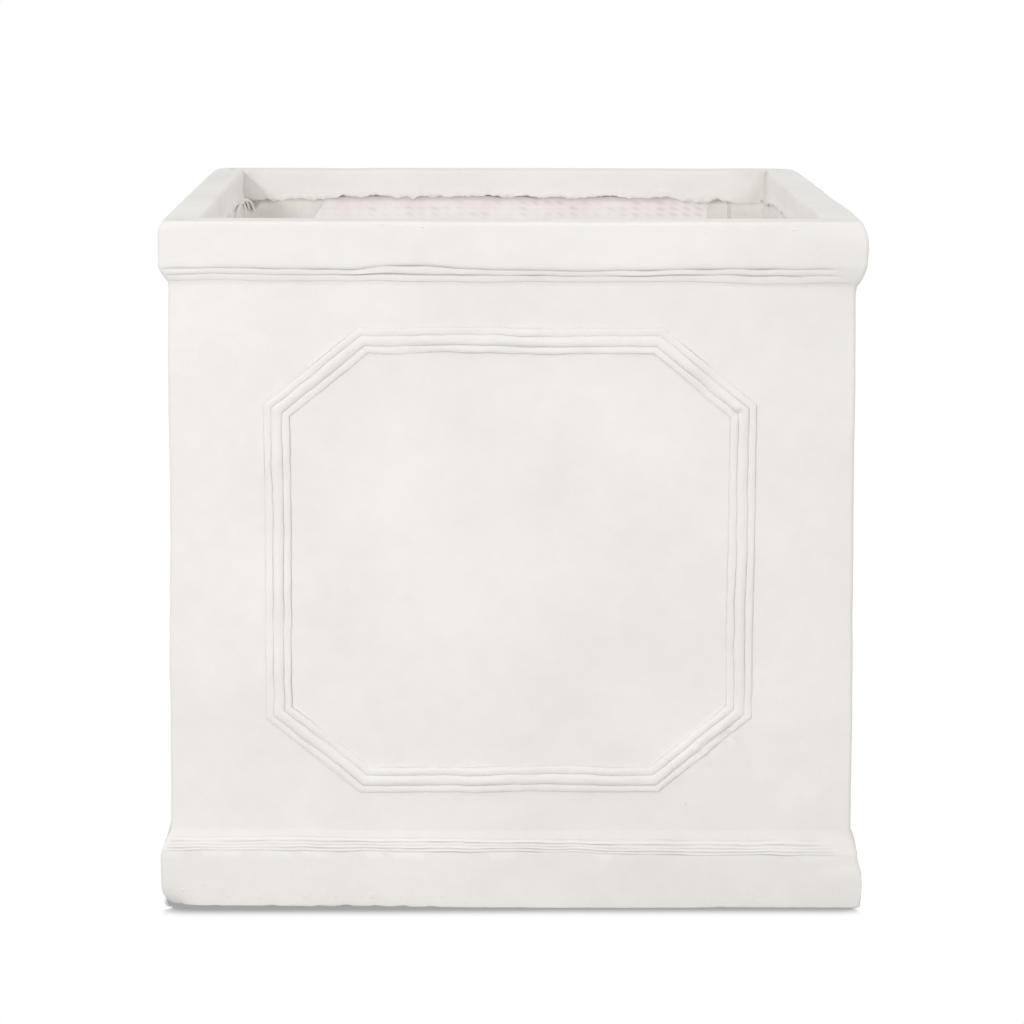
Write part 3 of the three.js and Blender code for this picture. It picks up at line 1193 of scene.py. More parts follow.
@dataclass(frozen=True)
class InnerSizes:
    """The sizes of what lines the box, from the frame's nodes."""

    mesh_front: float = field(default_factory=lambda: -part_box("mesh_front")[1].y)
    mesh_back: float = field(default_factory=lambda: -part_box("mesh_front")[0].y)
    mesh_foot: float = field(default_factory=lambda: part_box("mesh_front")[0].z)
    # The mesh goes on up behind the lip.
    mesh_head: float = field(default_factory=lambda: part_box("mesh_front")[1].z + 1.4 * MM)
    mortar_out: float = field(default_factory=lambda: -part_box("floor_cove_front")[0].y)
    cove_toe: float = field(default_factory=lambda: -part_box("floor_cove_front")[1].y)
    cove_head: float = field(default_factory=lambda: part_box("floor_cove_front")[1].z)
    fillet_foot: float = field(default_factory=lambda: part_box("corner_fillet_front_left")[0].z)
    fillet_head: float = field(default_factory=lambda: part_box("corner_fillet_front_left")[1].z)
    floor_mesh_out: float = field(default_factory=lambda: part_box("floor_mesh")[1].x)
    floor_mesh_foot: float = field(default_factory=lambda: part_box("floor_mesh")[0].z)
    floor_mesh_head: float = field(default_factory=lambda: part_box("floor_mesh")[1].z)
    drain_edge: float = 15.5 * MM  # the radius of the floor mesh's hole


@dataclass(frozen=True)
class Weave:
    """Glass threads that cross each other at right angles, half drowned in cement."""

    pitch: float = 4.4 * MM
    crossing: float = 0.7 * MM
    thread: float = 0.5 * MM
    shaded: float = 4.5 * MM  # how far below the sheet's head, under the lip, its painted shade reaches
    slack: Waver = Waver(28, 1.4, 21.0)
    lump: Waver = Waver(7, 0.45, 23.0)

    def bare(self, place: Vector) -> float:
        """How little slurry covers the threads at a place, from 0 to 1; it also deepens the painted shade in
        the open meshes.
        """
        patches = 0.7 * noise.noise(place / (33 * MM)) + 0.7 * noise.noise(place / (8 * MM))
        return smooth_step(-0.25, 0.35, patches)

    def height(self, column: int, row: int, place: Vector) -> float:
        """How far the weave stands out at a point of a grid of half pitches.

        Args:
            column: The point's column, even where a thread runs up.
            row: The point's row, even where a thread runs across.
            place: The point.

        Returns:
            The height above the sheet, in metres.
        """
        threads = (column % 2 == 0) + (row % 2 == 0)
        relief = (0.0, self.thread, self.crossing)[threads]
        return relief * (0.35 + 0.65 * self.bare(place)) + self.lump.level(place)

    def depth(self, column: int, row: int, place: Vector, head: float) -> float:
        """How much painted shade the weave takes at a point: in its open meshes, and under the lip.

        Args:
            column: The point's column.
            row: The point's row.
            place: The point.
            head: The height of the sheet's head.

        Returns:
            The share that it lacks.
        """
        # Painted shade in the open meshes between the threads.
        hole = 0.08 + 0.34 * self.bare(place) if column % 2 and row % 2 else 0.0
        # Painted shade under the lip.
        under = 1 - smooth_step(0.0, self.shaded, head - place.z)
        return max(hole, 0.8 * under)


def close_behind(bm: BMesh, place: Callable[[Vector], Vector]) -> None:
    """Closes an open sheet by carrying its border to the back and filling the back.

    Args:
        bm: The sheet.
        place: Where a point of the border goes.
    """
    border = [edge for edge in bm.edges if edge.is_boundary]
    back = next_row(bm, border, place)
    bmesh.ops.contextual_create(bm, geom=back)


@dataclass
class MeshSheet:
    """The glass mesh on a slab's inner face."""

    side: Side
    material: bpy.types.Material
    sizes: InnerSizes
    weave: Weave = field(default_factory=Weave)
    held: float = 6.0 * MM  # how far from its upright edges it doesn't give
    frayed: float = 20.0 * MM  # how far below its head it is frayed
    fray: float = 1.2 * MM
    sunk: float = 0.2 * MM  # how far it is pressed into the slab
    give: float = 0.6  # how much of the slack shows along the wall

    def build(self) -> bpy.types.Object:
        """Builds the sheet.

        Returns:
            The finished piece, in place.
        """
        s = self.sizes
        columns = 2 * round(s.mesh_front / self.weave.pitch)
        rows = round((s.mesh_head - s.mesh_foot) / self.weave.pitch * 2)
        bm = bmesh.new()
        hollow = bm.verts.layers.float.new("hollow")
        bmesh.ops.create_grid(bm, x_segments=columns, y_segments=rows, size=1.0)
        for vert in bm.verts:
            column = round((vert.co.x + 1) / 2 * columns)
            row = round((vert.co.y + 1) / 2 * rows)
            x = (column / columns * 2 - 1) * s.mesh_front
            z = s.mesh_foot + (s.mesh_head - s.mesh_foot) * row / rows
            place = self.side.turn @ Vector((x, -s.mesh_front, z))
            rise = self.weave.height(column - columns // 2, row, place)
            inside = 1 - smooth_step(s.mesh_front - self.held, s.mesh_front, abs(x))
            slack = self.weave.slack.at(place)
            high = smooth_step(s.mesh_head - self.frayed, s.mesh_head, z)
            torn = high * (0.5 + noise.noise(Vector((x, self.side.value, 0)) / (9 * MM))) * self.fray
            y = (rise - self.sunk) * inside - s.mesh_front
            across, up = slack.x * inside * self.give, slack.z * inside * self.give
            vert.co = Vector((x + across, y, z + up - max(torn, 0.0)))
            vert.co.z = min(max(vert.co.z, s.mesh_foot), s.mesh_head)
            # Painted shade in the open meshes and under the lip.
            vert[hollow] = self.weave.depth(column - columns // 2, row, place, s.mesh_head)
        close_behind(bm, lambda at: Vector((at.x, -s.mesh_back, at.z)))
        bmesh.ops.transform(bm, matrix=self.side.turn, verts=bm.verts)
        name = f"{self.side.label}_mesh_sheet"
        return finished(name, bm, self.material, Slot.MESH, f"mesh_{self.side.label}")


@dataclass
class FloorSheet:
    """The glass mesh on the floor, with a ragged hole over the drain."""

    material: bpy.types.Material
    sizes: InnerSizes
    weave: Weave = field(default_factory=Weave)
    hole: Waver = Waver(6, 1.2, 3.0)  # how ragged the hole's edge is
    hole_room: float = 0.4 * MM  # how much wider it is than the drain
    relief: float = 0.8  # how much of the weave's relief the floor's slurry leaves
    sunk: float = 0.1 * MM

    def build(self) -> bpy.types.Object:
        """Builds the sheet.

        Returns:
            The finished piece, in place.
        """
        s = self.sizes
        count = 2 * round(s.floor_mesh_out / self.weave.pitch)
        bm = bmesh.new()
        hollow = bm.verts.layers.float.new("hollow")
        bmesh.ops.create_grid(bm, x_segments=count, y_segments=count, size=s.floor_mesh_out)
        step = 2 * s.floor_mesh_out / count
        in_hole = [face for face in bm.faces if face.calc_center_median().length < s.drain_edge]
        bmesh.ops.delete(bm, geom=in_hole, context="FACES")
        for vert in bm.verts:
            column, row = (round(value / step) for value in vert.co.xy)
            away = vert.co.xy.length
            if away < s.drain_edge + 0.9 * step:
                vert.co *= (s.drain_edge + self.hole.level(vert.co) + self.hole_room) / away
            # Painted shade in the open meshes.
            vert[hollow] = self.weave.depth(column, row, vert.co, math.inf)
            vert.co.z = s.floor_mesh_head + self.weave.height(column, row, vert.co) * self.relief - self.sunk
        border = [edge for edge in bm.edges if edge.is_boundary]
        back = next_row(bm, border, lambda at: Vector((at.x, at.y, s.floor_mesh_foot)))
        bmesh.ops.bridge_loops(bm, edges=back)
        return finished("floor_mesh_sheet", bm, self.material, Slot.MESH, "floor_mesh")


@dataclass
class CornerFillet:
    """The mortar pressed into an upright corner and drawn out thin on either wall."""

    corner: Corner
    material: bpy.types.Material
    sizes: InnerSizes
    # Lengths are in millimetres.
    reach: tuple[float, float] = (50.0, 50.0)  # along the walls that face y and x
    radius: float = 16.0
    edge: float = 2.8  # its thickness where the round corner begins
    drop: float = 0.0  # how far the head is below the frame's at its ends, where the lip hangs lower
    sink: float = 0.0  # how much lower it is towards the corner
    notch: float = 0.0  # how deep the hole is that the mortar left in the corner
    notch_at: float = 8.0  # how far from the corner that is, and how wide
    notch_width: float = 5.0
    slant: float = 0.0  # how much further it reaches along the walls at its head than below
    slant_run: float = 22.0  # within how far of its head it does
    ribs: tuple[tuple[float, float, float], ...] = ()  # place from the corner, width and height
    wander: Waver = Waver(40, 7.0, 31.0)  # of its edge, over the walls
    smear: Waver = Waver(14, 0.7, 33.0)
    grit: Waver = Waver(4, 0.22, 35.0)
    rounded: float = 0.9  # how far its head is rounded off
    rooted: float = 0.8  # how far its far ends go down into the mesh
    around: int = 44
    upward: int = 110

    def section(self, share: float) -> Vector:
        """A point of the plan outline from the corner, in millimetres.

        Args:
            share: The place from the far end on the wall that faces y, 0, to the one that faces x, 1.

        Returns:
            How far the point is from the wall that faces x and from the one that faces y.
        """
        run = 2 * abs(share - 0.5)  # 1 at either far end and 0 in the corner's middle
        turn = 0.4  # the share of the run that the round corner takes
        reach = self.reach[0] if share < 0.5 else self.reach[1]
        near = self.radius + self.edge
        if run < turn:
            angle = math.pi / 4 * (1 - run / turn)
            point = Vector((near - self.radius * math.sin(angle), near - self.radius * math.cos(angle)))
        else:
            far = (run - turn) / 0.6
            eased = 1 - (1 - far) ** 1.7
            thick = self.edge * (1 - 0.8 * smooth_step(0.45, 1.0, eased))
            point = Vector((near + (reach - near) * eased, thick))
        for place, width, height in self.ribs if share < 0.5 else ():
            point.y += height * math.exp(-(((point.x - place) / width) ** 2))
        return point if share < 0.5 else Vector((point.y, point.x))

    def head_at(self, away: float, share: float) -> float:
        """The height of the fillet's head.

        Args:
            away: The distance from the corner.
            share: The place across it, as for section.

        Returns:
            The height, in metres.
        """
        low = self.drop + self.sink * (1 - smooth_step(10 * MM, 50 * MM, away))
        low += self.notch * math.exp(-(((away - self.notch_at * MM) / (self.notch_width * MM)) ** 2))
        low += 1.2 * noise.noise(Vector((away / (9 * MM), share > 0.5, self.corner.signs[0])))
        return self.sizes.fillet_head - max(low, 0.0) * MM

    def build(self) -> bpy.types.Object:
        """Builds the fillet.

        Returns:
            The finished piece, in place.
        """
        s = self.sizes
        sign_x, sign_y = self.corner.signs
        bm = bmesh.new()
        hollow = bm.verts.layers.float.new("hollow")
        bmesh.ops.create_grid(bm, x_segments=self.around, y_segments=self.upward, size=1.0)
        for vert in bm.verts:
            share, rise = (vert.co.x + 1) / 2, (vert.co.y + 1) / 2
            point = self.section(share) * MM
            away = max(point.x, point.y)
            z = s.fillet_foot + (self.head_at(away, share) - s.fillet_foot) * rise
            far = smooth_step(10 * MM, 45 * MM, away)
            wide = self.wander.level(Vector((sign_x * (1 + (share > 0.5)), sign_y, z / MM)) * MM)
            wide -= self.slant * MM * smooth_step(0.0, self.slant_run * MM, s.fillet_head - z)
            point += (Vector((1, 0)) if share < 0.5 else Vector((0, 1))) * wide * far
            place = Vector((sign_x * (s.mortar_out - point.x), sign_y * (s.mortar_out - point.y), z))
            inward = Vector((-sign_x * point.y, -sign_y * point.x, 0)).normalized()
            level = self.smear.level(place) + self.grit.level(place)
            level -= self.rounded * MM * smooth_step(0.985, 1.0, rise)
            steps_in = min(share, 1 - share) * self.around
            vert.co = place + inward * level * smooth_step(0.0, 3.0, steps_in)
            # Painted shade along the head, which lies under the lip.
            vert[hollow] = 0.7 * smooth_step(0.993, 1.0, rise)
            vert.co.x = min(max(vert.co.x, -s.mortar_out), s.mortar_out)
            vert.co.y = min(max(vert.co.y, -s.mortar_out), s.mortar_out)
            if steps_in < 0.5:
                axis, sign = (1, sign_y) if share < 0.5 else (0, sign_x)
                vert.co[axis] = sign * (s.mortar_out + self.rooted * MM)
        corner = Vector((sign_x * s.mortar_out, sign_y * s.mortar_out, 0))
        border = [edge for edge in bm.edges if edge.is_boundary]
        next_row(bm, border, lambda at: Vector((corner.x, corner.y, at.z)))
        bmesh.ops.remove_doubles(bm, verts=bm.verts, dist=0.02 * MM)
        name = f"{self.corner.label}_corner_fillet"
        return finished(name, bm, self.material, Slot.MORTAR, f"corner_fillet_{self.corner.label}")


@dataclass
class LooseStrands:
    """Glass strands that spring out of the mesh where the mortar left a hole in the corner."""

    corner: Corner
    material: bpy.types.Material
    sizes: InnerSizes
    # Each strand's knees: inwards from the wall that faces y, inwards from the one that faces x, and height.
    routes: tuple[tuple[tuple[float, float, float], ...], ...]
    radius: float = 0.8  # millimetres, with the slurry that clings to it
    sides: int = 7
    steps: int = 7

    def spine(self, route: tuple[tuple[float, float, float], ...]) -> list[Vector]:
        """Draws a smooth line through a strand's knees, in metres.

        Args:
            route: The knees.

        Returns:
            The line's points.
        """
        sign_x, sign_y = self.corner.signs
        out = self.sizes.mortar_out
        knees = [Vector((sign_x * (out - b * MM), sign_y * (out - a * MM), z * MM)) for a, b, z in route]
        knees = [2 * knees[0] - knees[1]] + knees + [2 * knees[-1] - knees[-2]]
        points = []
        for a, b, c, d in zip(knees, knees[1:], knees[2:], knees[3:]):
            for i in range(self.steps):
                t = i / self.steps
                square = (2 * a - 5 * b + 4 * c - d) * t**2
                cube = (3 * b - a - 3 * c + d) * t**3
                points.append(0.5 * (2 * b + (c - a) * t + square + cube))
        return points + [knees[-2]]

    def build(self) -> bpy.types.Object:
        """Builds the strands.

        Returns:
            The finished piece, in place.
        """
        bm = bmesh.new()
        for route in self.routes:
            points = self.spine(route)
            thick = self.radius * MM
            ring = bmesh.ops.create_circle(bm, cap_ends=True, segments=self.sides, radius=thick)["verts"]
            aim = (points[1] - points[0]).to_track_quat("Z", "Y").to_matrix().to_4x4()
            bmesh.ops.transform(bm, matrix=Matrix.Translation(points[0]) @ aim, verts=ring)
            edges = list({edge for vert in ring for edge in vert.link_edges})
            for before, after, last in zip(points, points[1:], points[2:] + points[-1:]):
                way = (last - before).normalized()
                turn = (after - before).normalized().rotation_difference(way)

                def place(at: Vector, before=before, after=after, turn=turn) -> Vector:
                    """Where a point of the ring comes at the next point of the line."""
                    return after + turn @ (at - before)

                edges = next_row(bm, edges, place)
            bmesh.ops.contextual_create(bm, geom=edges)
        name = f"{self.corner.label}_loose_strands"
        return finished(name, bm, self.material, Slot.MESH)


@dataclass
class FloorCove:
    """The bead of mortar along a wall's foot."""

    side: Side
    material: bpy.types.Material
    sizes: InnerSizes
    lengthwise: int = 160
    around: int = 10

    def build(self) -> bpy.types.Object:
        """Builds the cove.

        Returns:
            The finished piece, in place.
        """
        s = self.sizes
        size = s.mortar_out - s.cove_toe
        bm = bmesh.new()
        bmesh.ops.create_grid(bm, x_segments=self.lengthwise, y_segments=self.around, size=1.0)
        smear = Waver(17, 1.3, 41.0)
        short = 0.1 * MM  # how far it stops short of the mitre
        for vert in bm.verts:
            share = (vert.co.y + 1) / 2
            out = s.cove_toe + size * share
            up = s.mesh_foot + size * share
            hollow = math.sin(math.pi * share)
            level = hollow * (smear.level(self.side.turn @ Vector((vert.co.x * out, -out, up))) - 0.4 * MM)
            out, up = out - level, up + level
            vert.co = Vector((vert.co.x * (out - short), -out, up))
        border = [edge for edge in bm.edges if edge.is_boundary]

        def back(at: Vector) -> Vector:
            """Where a point of the border comes in the corner between the wall and the floor."""
            x = math.copysign(min(abs(at.x) + 1, s.mortar_out - short), at.x)
            return Vector((x, -s.mortar_out, s.mesh_foot))

        next_row(bm, border, back)
        bmesh.ops.remove_doubles(bm, verts=bm.verts, dist=0.02 * MM)
        bmesh.ops.transform(bm, matrix=self.side.turn, verts=bm.verts)
        name = f"{self.side.label}_floor_cove"
        return finished(name, bm, self.material, Slot.MORTAR, f"floor_cove_{self.side.label}")


# ---- Finishes ----


class Paint:
    """A material under way: its nodes' sources and its surface."""

    def __init__(self, name: str) -> None:
        """Starts the material.

        Args:
            name: Its name.
        """
        self.material = bpy.data.materials.new(name)
        self.material.use_nodes = True
        self.tree = self.material.node_tree
        self.place = add_node(self.tree, "ShaderNodeTexCoord").outputs["Object"]
        # The hollow attribute carries painted shade: in the grooves, under the lip and in its corners, and
        # between the mesh threads.
        self.hollow = add_node(self.tree, "ShaderNodeAttribute", {"attribute_name": "hollow"}).outputs["Fac"]

    def finish(
        self, colour: bpy.types.NodeSocket, bump: bpy.types.NodeSocket, roughness: float, specular: float
    ) -> bpy.types.Material:
        """Joins the colour and the bump to the surface.

        Args:
            colour: The colour's socket.
            bump: The normal's socket.
            roughness: The surface's roughness.
            specular: Its specular level.

        Returns:
            The finished material.
        """
        inputs = self.tree.nodes["Principled BSDF"].inputs
        self.tree.links.new(colour, inputs["Base Color"])
        self.tree.links.new(bump, inputs["Normal"])
        inputs["Roughness"].default_value = roughness
        inputs["Specular IOR Level"].default_value = specular
        return self.material


@dataclass(frozen=True)
class LimewashedCement:
    """Glass-fibre cement, cast in a mould, rubbed down by hand and brushed with limewash.

    It gives the eye a chalky, slightly warm white: cloudy where the wash lies thin, with a fine sandy grain
    and no shine. Its hollow attribute mixes in a grey of painted shade: in the scribed grooves, under the lip
    and in the lip's inner corners.
    """

    wash: str = "#F6F3EF"
    thin_wash: str = "#EFECE8"
    # the grey of painted shade in the grooves, under the lip and in its corners
    bare: str = "#C4BFB5"
    cloud: float = 85.0  # millimetres, as the sizes below
    mottle: float = 11.0
    grain: float = 1.5  # real sand is half that, which is too fine to show in the render
    roughness: float = 0.88
    specular: float = 0.25

    def material(self) -> bpy.types.Material:
        """Makes the material."""
        paint = Paint("limewashed_cast_cement")
        tree, place, hollow = paint.tree, paint.place, paint.hollow
        cloud = add_node(
            tree,
            "ShaderNodeTexNoise",
            {},
            {"Vector": place, "Scale": per_metre(self.cloud), "Detail": 3.0, "Roughness": 0.55},
        ).outputs["Fac"]
        mottle = add_node(
            tree,
            "ShaderNodeTexNoise",
            {},
            {"Vector": place, "Scale": per_metre(self.mottle), "Detail": 4.0, "Roughness": 0.6},
        ).outputs["Fac"]
        grain = add_node(
            tree,
            "ShaderNodeTexNoise",
            {},
            {"Vector": place, "Scale": per_metre(self.grain), "Detail": 2.0, "Roughness": 0.5},
        ).outputs["Fac"]
        both = add_node(
            tree, "ShaderNodeMath", {"operation": "MULTIPLY_ADD"}, {0: mottle, 1: 0.35, 2: cloud}
        ).outputs[0]
        thin = add_node(
            tree, "ShaderNodeMapRange", {}, {"Value": both, "From Min": 0.5, "From Max": 0.88}
        ).outputs["Result"]
        washed = add_node(
            tree,
            "ShaderNodeMixRGB",
            {},
            {"Fac": thin, "Color1": linear(self.wash), "Color2": linear(self.thin_wash)},
        ).outputs["Color"]
        # Painted shade: the hollow attribute greys the wash in the grooves, under the lip and in its corners.
        share = add_node(tree, "ShaderNodeMath", {"operation": "MULTIPLY"}, {0: hollow, 1: 0.65}).outputs[0]
        colour = add_node(
            tree, "ShaderNodeMixRGB", {}, {"Fac": share, "Color1": washed, "Color2": linear(self.bare)}
        ).outputs["Color"]
        height = add_node(
            tree, "ShaderNodeMath", {"operation": "MULTIPLY_ADD"}, {0: mottle, 1: 3.0, 2: grain}
        ).outputs[0]
        bump = add_node(
            tree, "ShaderNodeBump", {}, {"Height": height, "Strength": 0.35, "Distance": 0.15 * MM}
        ).outputs["Normal"]
        return paint.finish(colour, bump, self.roughness, self.specular)


@dataclass(frozen=True)
class SoakedMesh:
    """Glass mesh soaked in white cement slurry.

    It gives the eye a faintly pink white against the wash, with pale threads. Its hollow attribute mixes in a
    grey of painted shade between the threads and under the lip.
    """

    thread: str = "#F9F5F3"
    slurry: str = "#F3EDEA"
    # the painted shade between the threads and under the lip
    open_mesh: str = "#C9C0BB"
    patch: float = 24.0  # millimetres
    grain: float = 2.0
    roughness: float = 0.9
    specular: float = 0.2

    def material(self) -> bpy.types.Material:
        """Makes the material."""
        paint = Paint("cement_soaked_glass_mesh")
        tree, place, hollow = paint.tree, paint.place, paint.hollow
        patches = add_node(
            tree,
            "ShaderNodeTexNoise",
            {},
            {"Vector": place, "Scale": per_metre(self.patch), "Detail": 4.0, "Roughness": 0.6},
        ).outputs["Fac"]
        share = add_node(
            tree, "ShaderNodeMapRange", {}, {"Value": patches, "From Min": 0.35, "From Max": 0.65}
        ).outputs["Result"]
        soaked = add_node(
            tree,
            "ShaderNodeMixRGB",
            {},
            {"Fac": share, "Color1": linear(self.thread), "Color2": linear(self.slurry)},
        ).outputs["Color"]
        # Painted shade from the hollow attribute.
        colour = add_node(
            tree, "ShaderNodeMixRGB", {}, {"Fac": hollow, "Color1": soaked, "Color2": linear(self.open_mesh)}
        ).outputs["Color"]
        grain = add_node(
            tree,
            "ShaderNodeTexNoise",
            {},
            {"Vector": place, "Scale": per_metre(self.grain), "Detail": 2.0},
        ).outputs["Fac"]
        bump = add_node(
            tree, "ShaderNodeBump", {}, {"Height": grain, "Strength": 0.5, "Distance": 0.25 * MM}
        ).outputs["Normal"]
        return paint.finish(colour, bump, self.roughness, self.specular)


@dataclass(frozen=True)
class TrowelledMortar:
    """Cement mortar smeared with a trowel.

    It gives the eye a plain pale grey, smoother and a little darker than the wash, with soft smears. Its
    hollow attribute mixes in a darker grey of painted shade along the fillets' heads, under the lip.
    """

    light: str = "#EBE8E3"
    dark: str = "#DDD9D2"
    # the painted shade along a fillet's head, under the lip
    crease: str = "#A8A297"
    smear: float = 26.0  # millimetres
    grain: float = 1.8
    roughness: float = 0.85
    specular: float = 0.25

    def material(self) -> bpy.types.Material:
        """Makes the material."""
        paint = Paint("trowelled_cement_mortar")
        tree, place, hollow = paint.tree, paint.place, paint.hollow
        smears = add_node(
            tree,
            "ShaderNodeTexNoise",
            {},
            {"Vector": place, "Scale": per_metre(self.smear), "Detail": 3.0, "Distortion": 0.6},
        ).outputs["Fac"]
        share = add_node(
            tree, "ShaderNodeMapRange", {}, {"Value": smears, "From Min": 0.35, "From Max": 0.68}
        ).outputs["Result"]
        smeared = add_node(
            tree,
            "ShaderNodeMixRGB",
            {},
            {"Fac": share, "Color1": linear(self.light), "Color2": linear(self.dark)},
        ).outputs["Color"]
        # Painted shade from the hollow attribute.
        colour = add_node(
            tree, "ShaderNodeMixRGB", {}, {"Fac": hollow, "Color1": smeared, "Color2": linear(self.crease)}
        ).outputs["Color"]
        grain = add_node(
            tree,
            "ShaderNodeTexNoise",
            {},
            {"Vector": place, "Scale": per_metre(self.grain), "Detail": 2.0},
        ).outputs["Fac"]
        bump = add_node(
            tree, "ShaderNodeBump", {}, {"Height": grain, "Strength": 0.3, "Distance": 0.15 * MM}
        ).outputs["Normal"]
        return paint.finish(colour, bump, self.roughness, self.specular)


# ---- The studio ----


@dataclass(frozen=True)
class Studio:
    """The camera at the photograph's angle, a soft key from the left of it, a pale sky and a pale floor."""

    lens: float = 108.87
    stand: tuple[float, float, float] = (-0.029, -1.9715, 0.573)
    turn: float = -0.932  # degrees, as the next two
    tilt: float = 10.684
    roll: float = 0.169
    key_from: tuple[float, float, float] = (-0.31, -0.9, 0.27)
    key_away: float = 1.7
    key_size: float = 0.09
    key_power: float = 6.0
    fill_from: tuple[float, float, float] = (0.1, -2.6, 0.95)
    fill_at: tuple[float, float, float] = (0.0, 0.0, 0.3)
    fill_size: tuple[float, float] = (1.6, 0.9)
    fill_power: float = 4.6
    bounce_power: float = 0.24
    bounce_colour: str = "#F2F8FF"
    sky: float = 0.83
    floor_size: float = 6.0
    floor_grey: str = "#C4C4C4"  # what the floor throws back on the planter
    shadow_reach: float = 0.019
    shadow_samples: int = 24
    darkest: float = 0.37
    # How open a place is where the shadow is darkest, and where it has ended: in front, at the sides, behind.
    closed: float = 0.45
    open_front: float = 0.96
    open_side: float = 0.49
    open_back: float = 0.7
    # Where those change over, as shares of the box's reach from the axis, and where the corners' shadow ends.
    front_run: tuple[float, float] = (-1.0, -0.97)
    back_run: tuple[float, float] = (-0.75, -0.5)
    corner_run: tuple[float, float] = (0.94, 1.0)

    def camera(self) -> bpy.types.Object:
        """Adds the camera and makes it the scene's."""
        data = bpy.data.cameras.new("camera")
        data.lens = self.lens
        data.sensor_width = 36.0
        camera = bpy.data.objects.new("camera", data)
        aim = Matrix.Rotation(math.radians(self.turn), 4, "Z")
        aim @= Matrix.Rotation(math.radians(90 - self.tilt), 4, "X")
        aim @= Matrix.Rotation(math.radians(self.roll), 4, "Z")
        camera.matrix_world = Matrix.Translation(self.stand) @ aim
        bpy.context.scene.collection.objects.link(camera)
        bpy.context.scene.camera = camera
        return camera

    def lamp(
        self, name: str, shape: str, size: tuple[float, float], power: float, place: Vector, turn: Quaternion
    ) -> bpy.types.Light:
        """Adds an area light that the camera doesn't see.

        Args:
            name: The light's name.
            shape: Its outline.
            size: Its width and, for a rectangle, its height.
            power: Its power in watts.
            place: Where it stands.
            turn: Which way it points.

        Returns:
            The light's data.
        """
        data = bpy.data.lights.new(name, "AREA")
        data.shape = shape
        data.size, data.size_y = size
        data.energy = power
        light = bpy.data.objects.new(name, data)
        light.location = place
        light.rotation_mode = "QUATERNION"
        light.rotation_quaternion = turn
        light.visible_camera = False
        bpy.context.scene.collection.objects.link(light)
        return data

    def key(self) -> None:
        """Adds the key light, aimed at the middle of the front's upper half."""
        target = Vector((0, CAD_BOX[0].y, 0.6 * CAD_BOX[1].z))
        towards = Vector(self.key_from).normalized()
        turn = (-towards).to_track_quat("-Z", "Y")
        place = target + towards * self.key_away
        self.lamp("key", "DISK", (self.key_size, self.key_size), self.key_power, place, turn)

    def fill(self) -> None:
        """Adds a broad, low light in front, which reaches the lip and the mesh inside the rim."""
        place = Vector(self.fill_from)
        turn = (Vector(self.fill_at) - place).to_track_quat("-Z", "Y")
        self.lamp("fill", "RECTANGLE", self.fill_size, self.fill_power, place, turn)

    def bounce(self) -> None:
        """Adds a weak light low in the well, for what its pale walls throw back and forth."""
        size = 1.5 * CAD_BOX[1].x
        place = Vector((0, 0, 0.2 * CAD_BOX[1].z))
        up = Quaternion((1, 0, 0), math.pi)
        data = self.lamp("bounce", "SQUARE", (size, size), self.bounce_power, place, up)
        data.color = linear(self.bounce_colour)[:3]

    def plain_rays(self, tree: bpy.types.NodeTree) -> bpy.types.NodeSocket:
        """A factor that is 1 for the rays that see the background: camera, glossy and transmission rays."""
        path = add_node(tree, "ShaderNodeLightPath").outputs
        seen = add_node(
            tree,
            "ShaderNodeMath",
            {"operation": "MAXIMUM"},
            {0: path["Is Camera Ray"], 1: path["Is Glossy Ray"]},
        ).outputs[0]
        return add_node(
            tree, "ShaderNodeMath", {"operation": "MAXIMUM"}, {0: seen, 1: path["Is Transmission Ray"]}
        ).outputs[0]

    def sky_dome(self) -> None:
        """Lights the scene evenly from a pale sky, which looks white."""
        world = bpy.data.worlds.new("pale_sky")
        bpy.context.scene.world = world
        world.use_nodes = True
        tree = world.node_tree
        tree.nodes.clear()
        light = add_node(tree, "ShaderNodeBackground", {}, {"Color": linear("#FFFFFF"), "Strength": self.sky})
        white = add_node(tree, "ShaderNodeBackground", {}, {"Color": linear("#FFFFFF"), "Strength": 1.0})
        mixed = add_node(
            tree,
            "ShaderNodeMixShader",
            {},
            {0: self.plain_rays(tree), 1: light.outputs[0], 2: white.outputs[0]},
        )
        add_node(tree, "ShaderNodeOutputWorld", {}, {"Surface": mixed.outputs[0]})

    def floor(self) -> bpy.types.Object:
        """Adds a plain pale floor, which looks white but for the shadow where the planter meets it."""
        bm = bmesh.new()
        bmesh.ops.create_grid(bm, x_segments=1, y_segments=1, size=self.floor_size / 2)
        mesh = bpy.data.meshes.new("floor")
        bm.to_mesh(mesh)
        bm.free()
        floor = bpy.data.objects.new("floor", mesh)
        bpy.context.scene.collection.objects.link(floor)
        material = bpy.data.materials.new("plain_pale_floor")
        material.use_nodes = True
        tree = material.node_tree
        tree.nodes.clear()
        near = add_node(
            tree,
            "ShaderNodeAmbientOcclusion",
            {"samples": self.shadow_samples},
            {"Distance": self.shadow_reach},
        ).outputs["AO"]
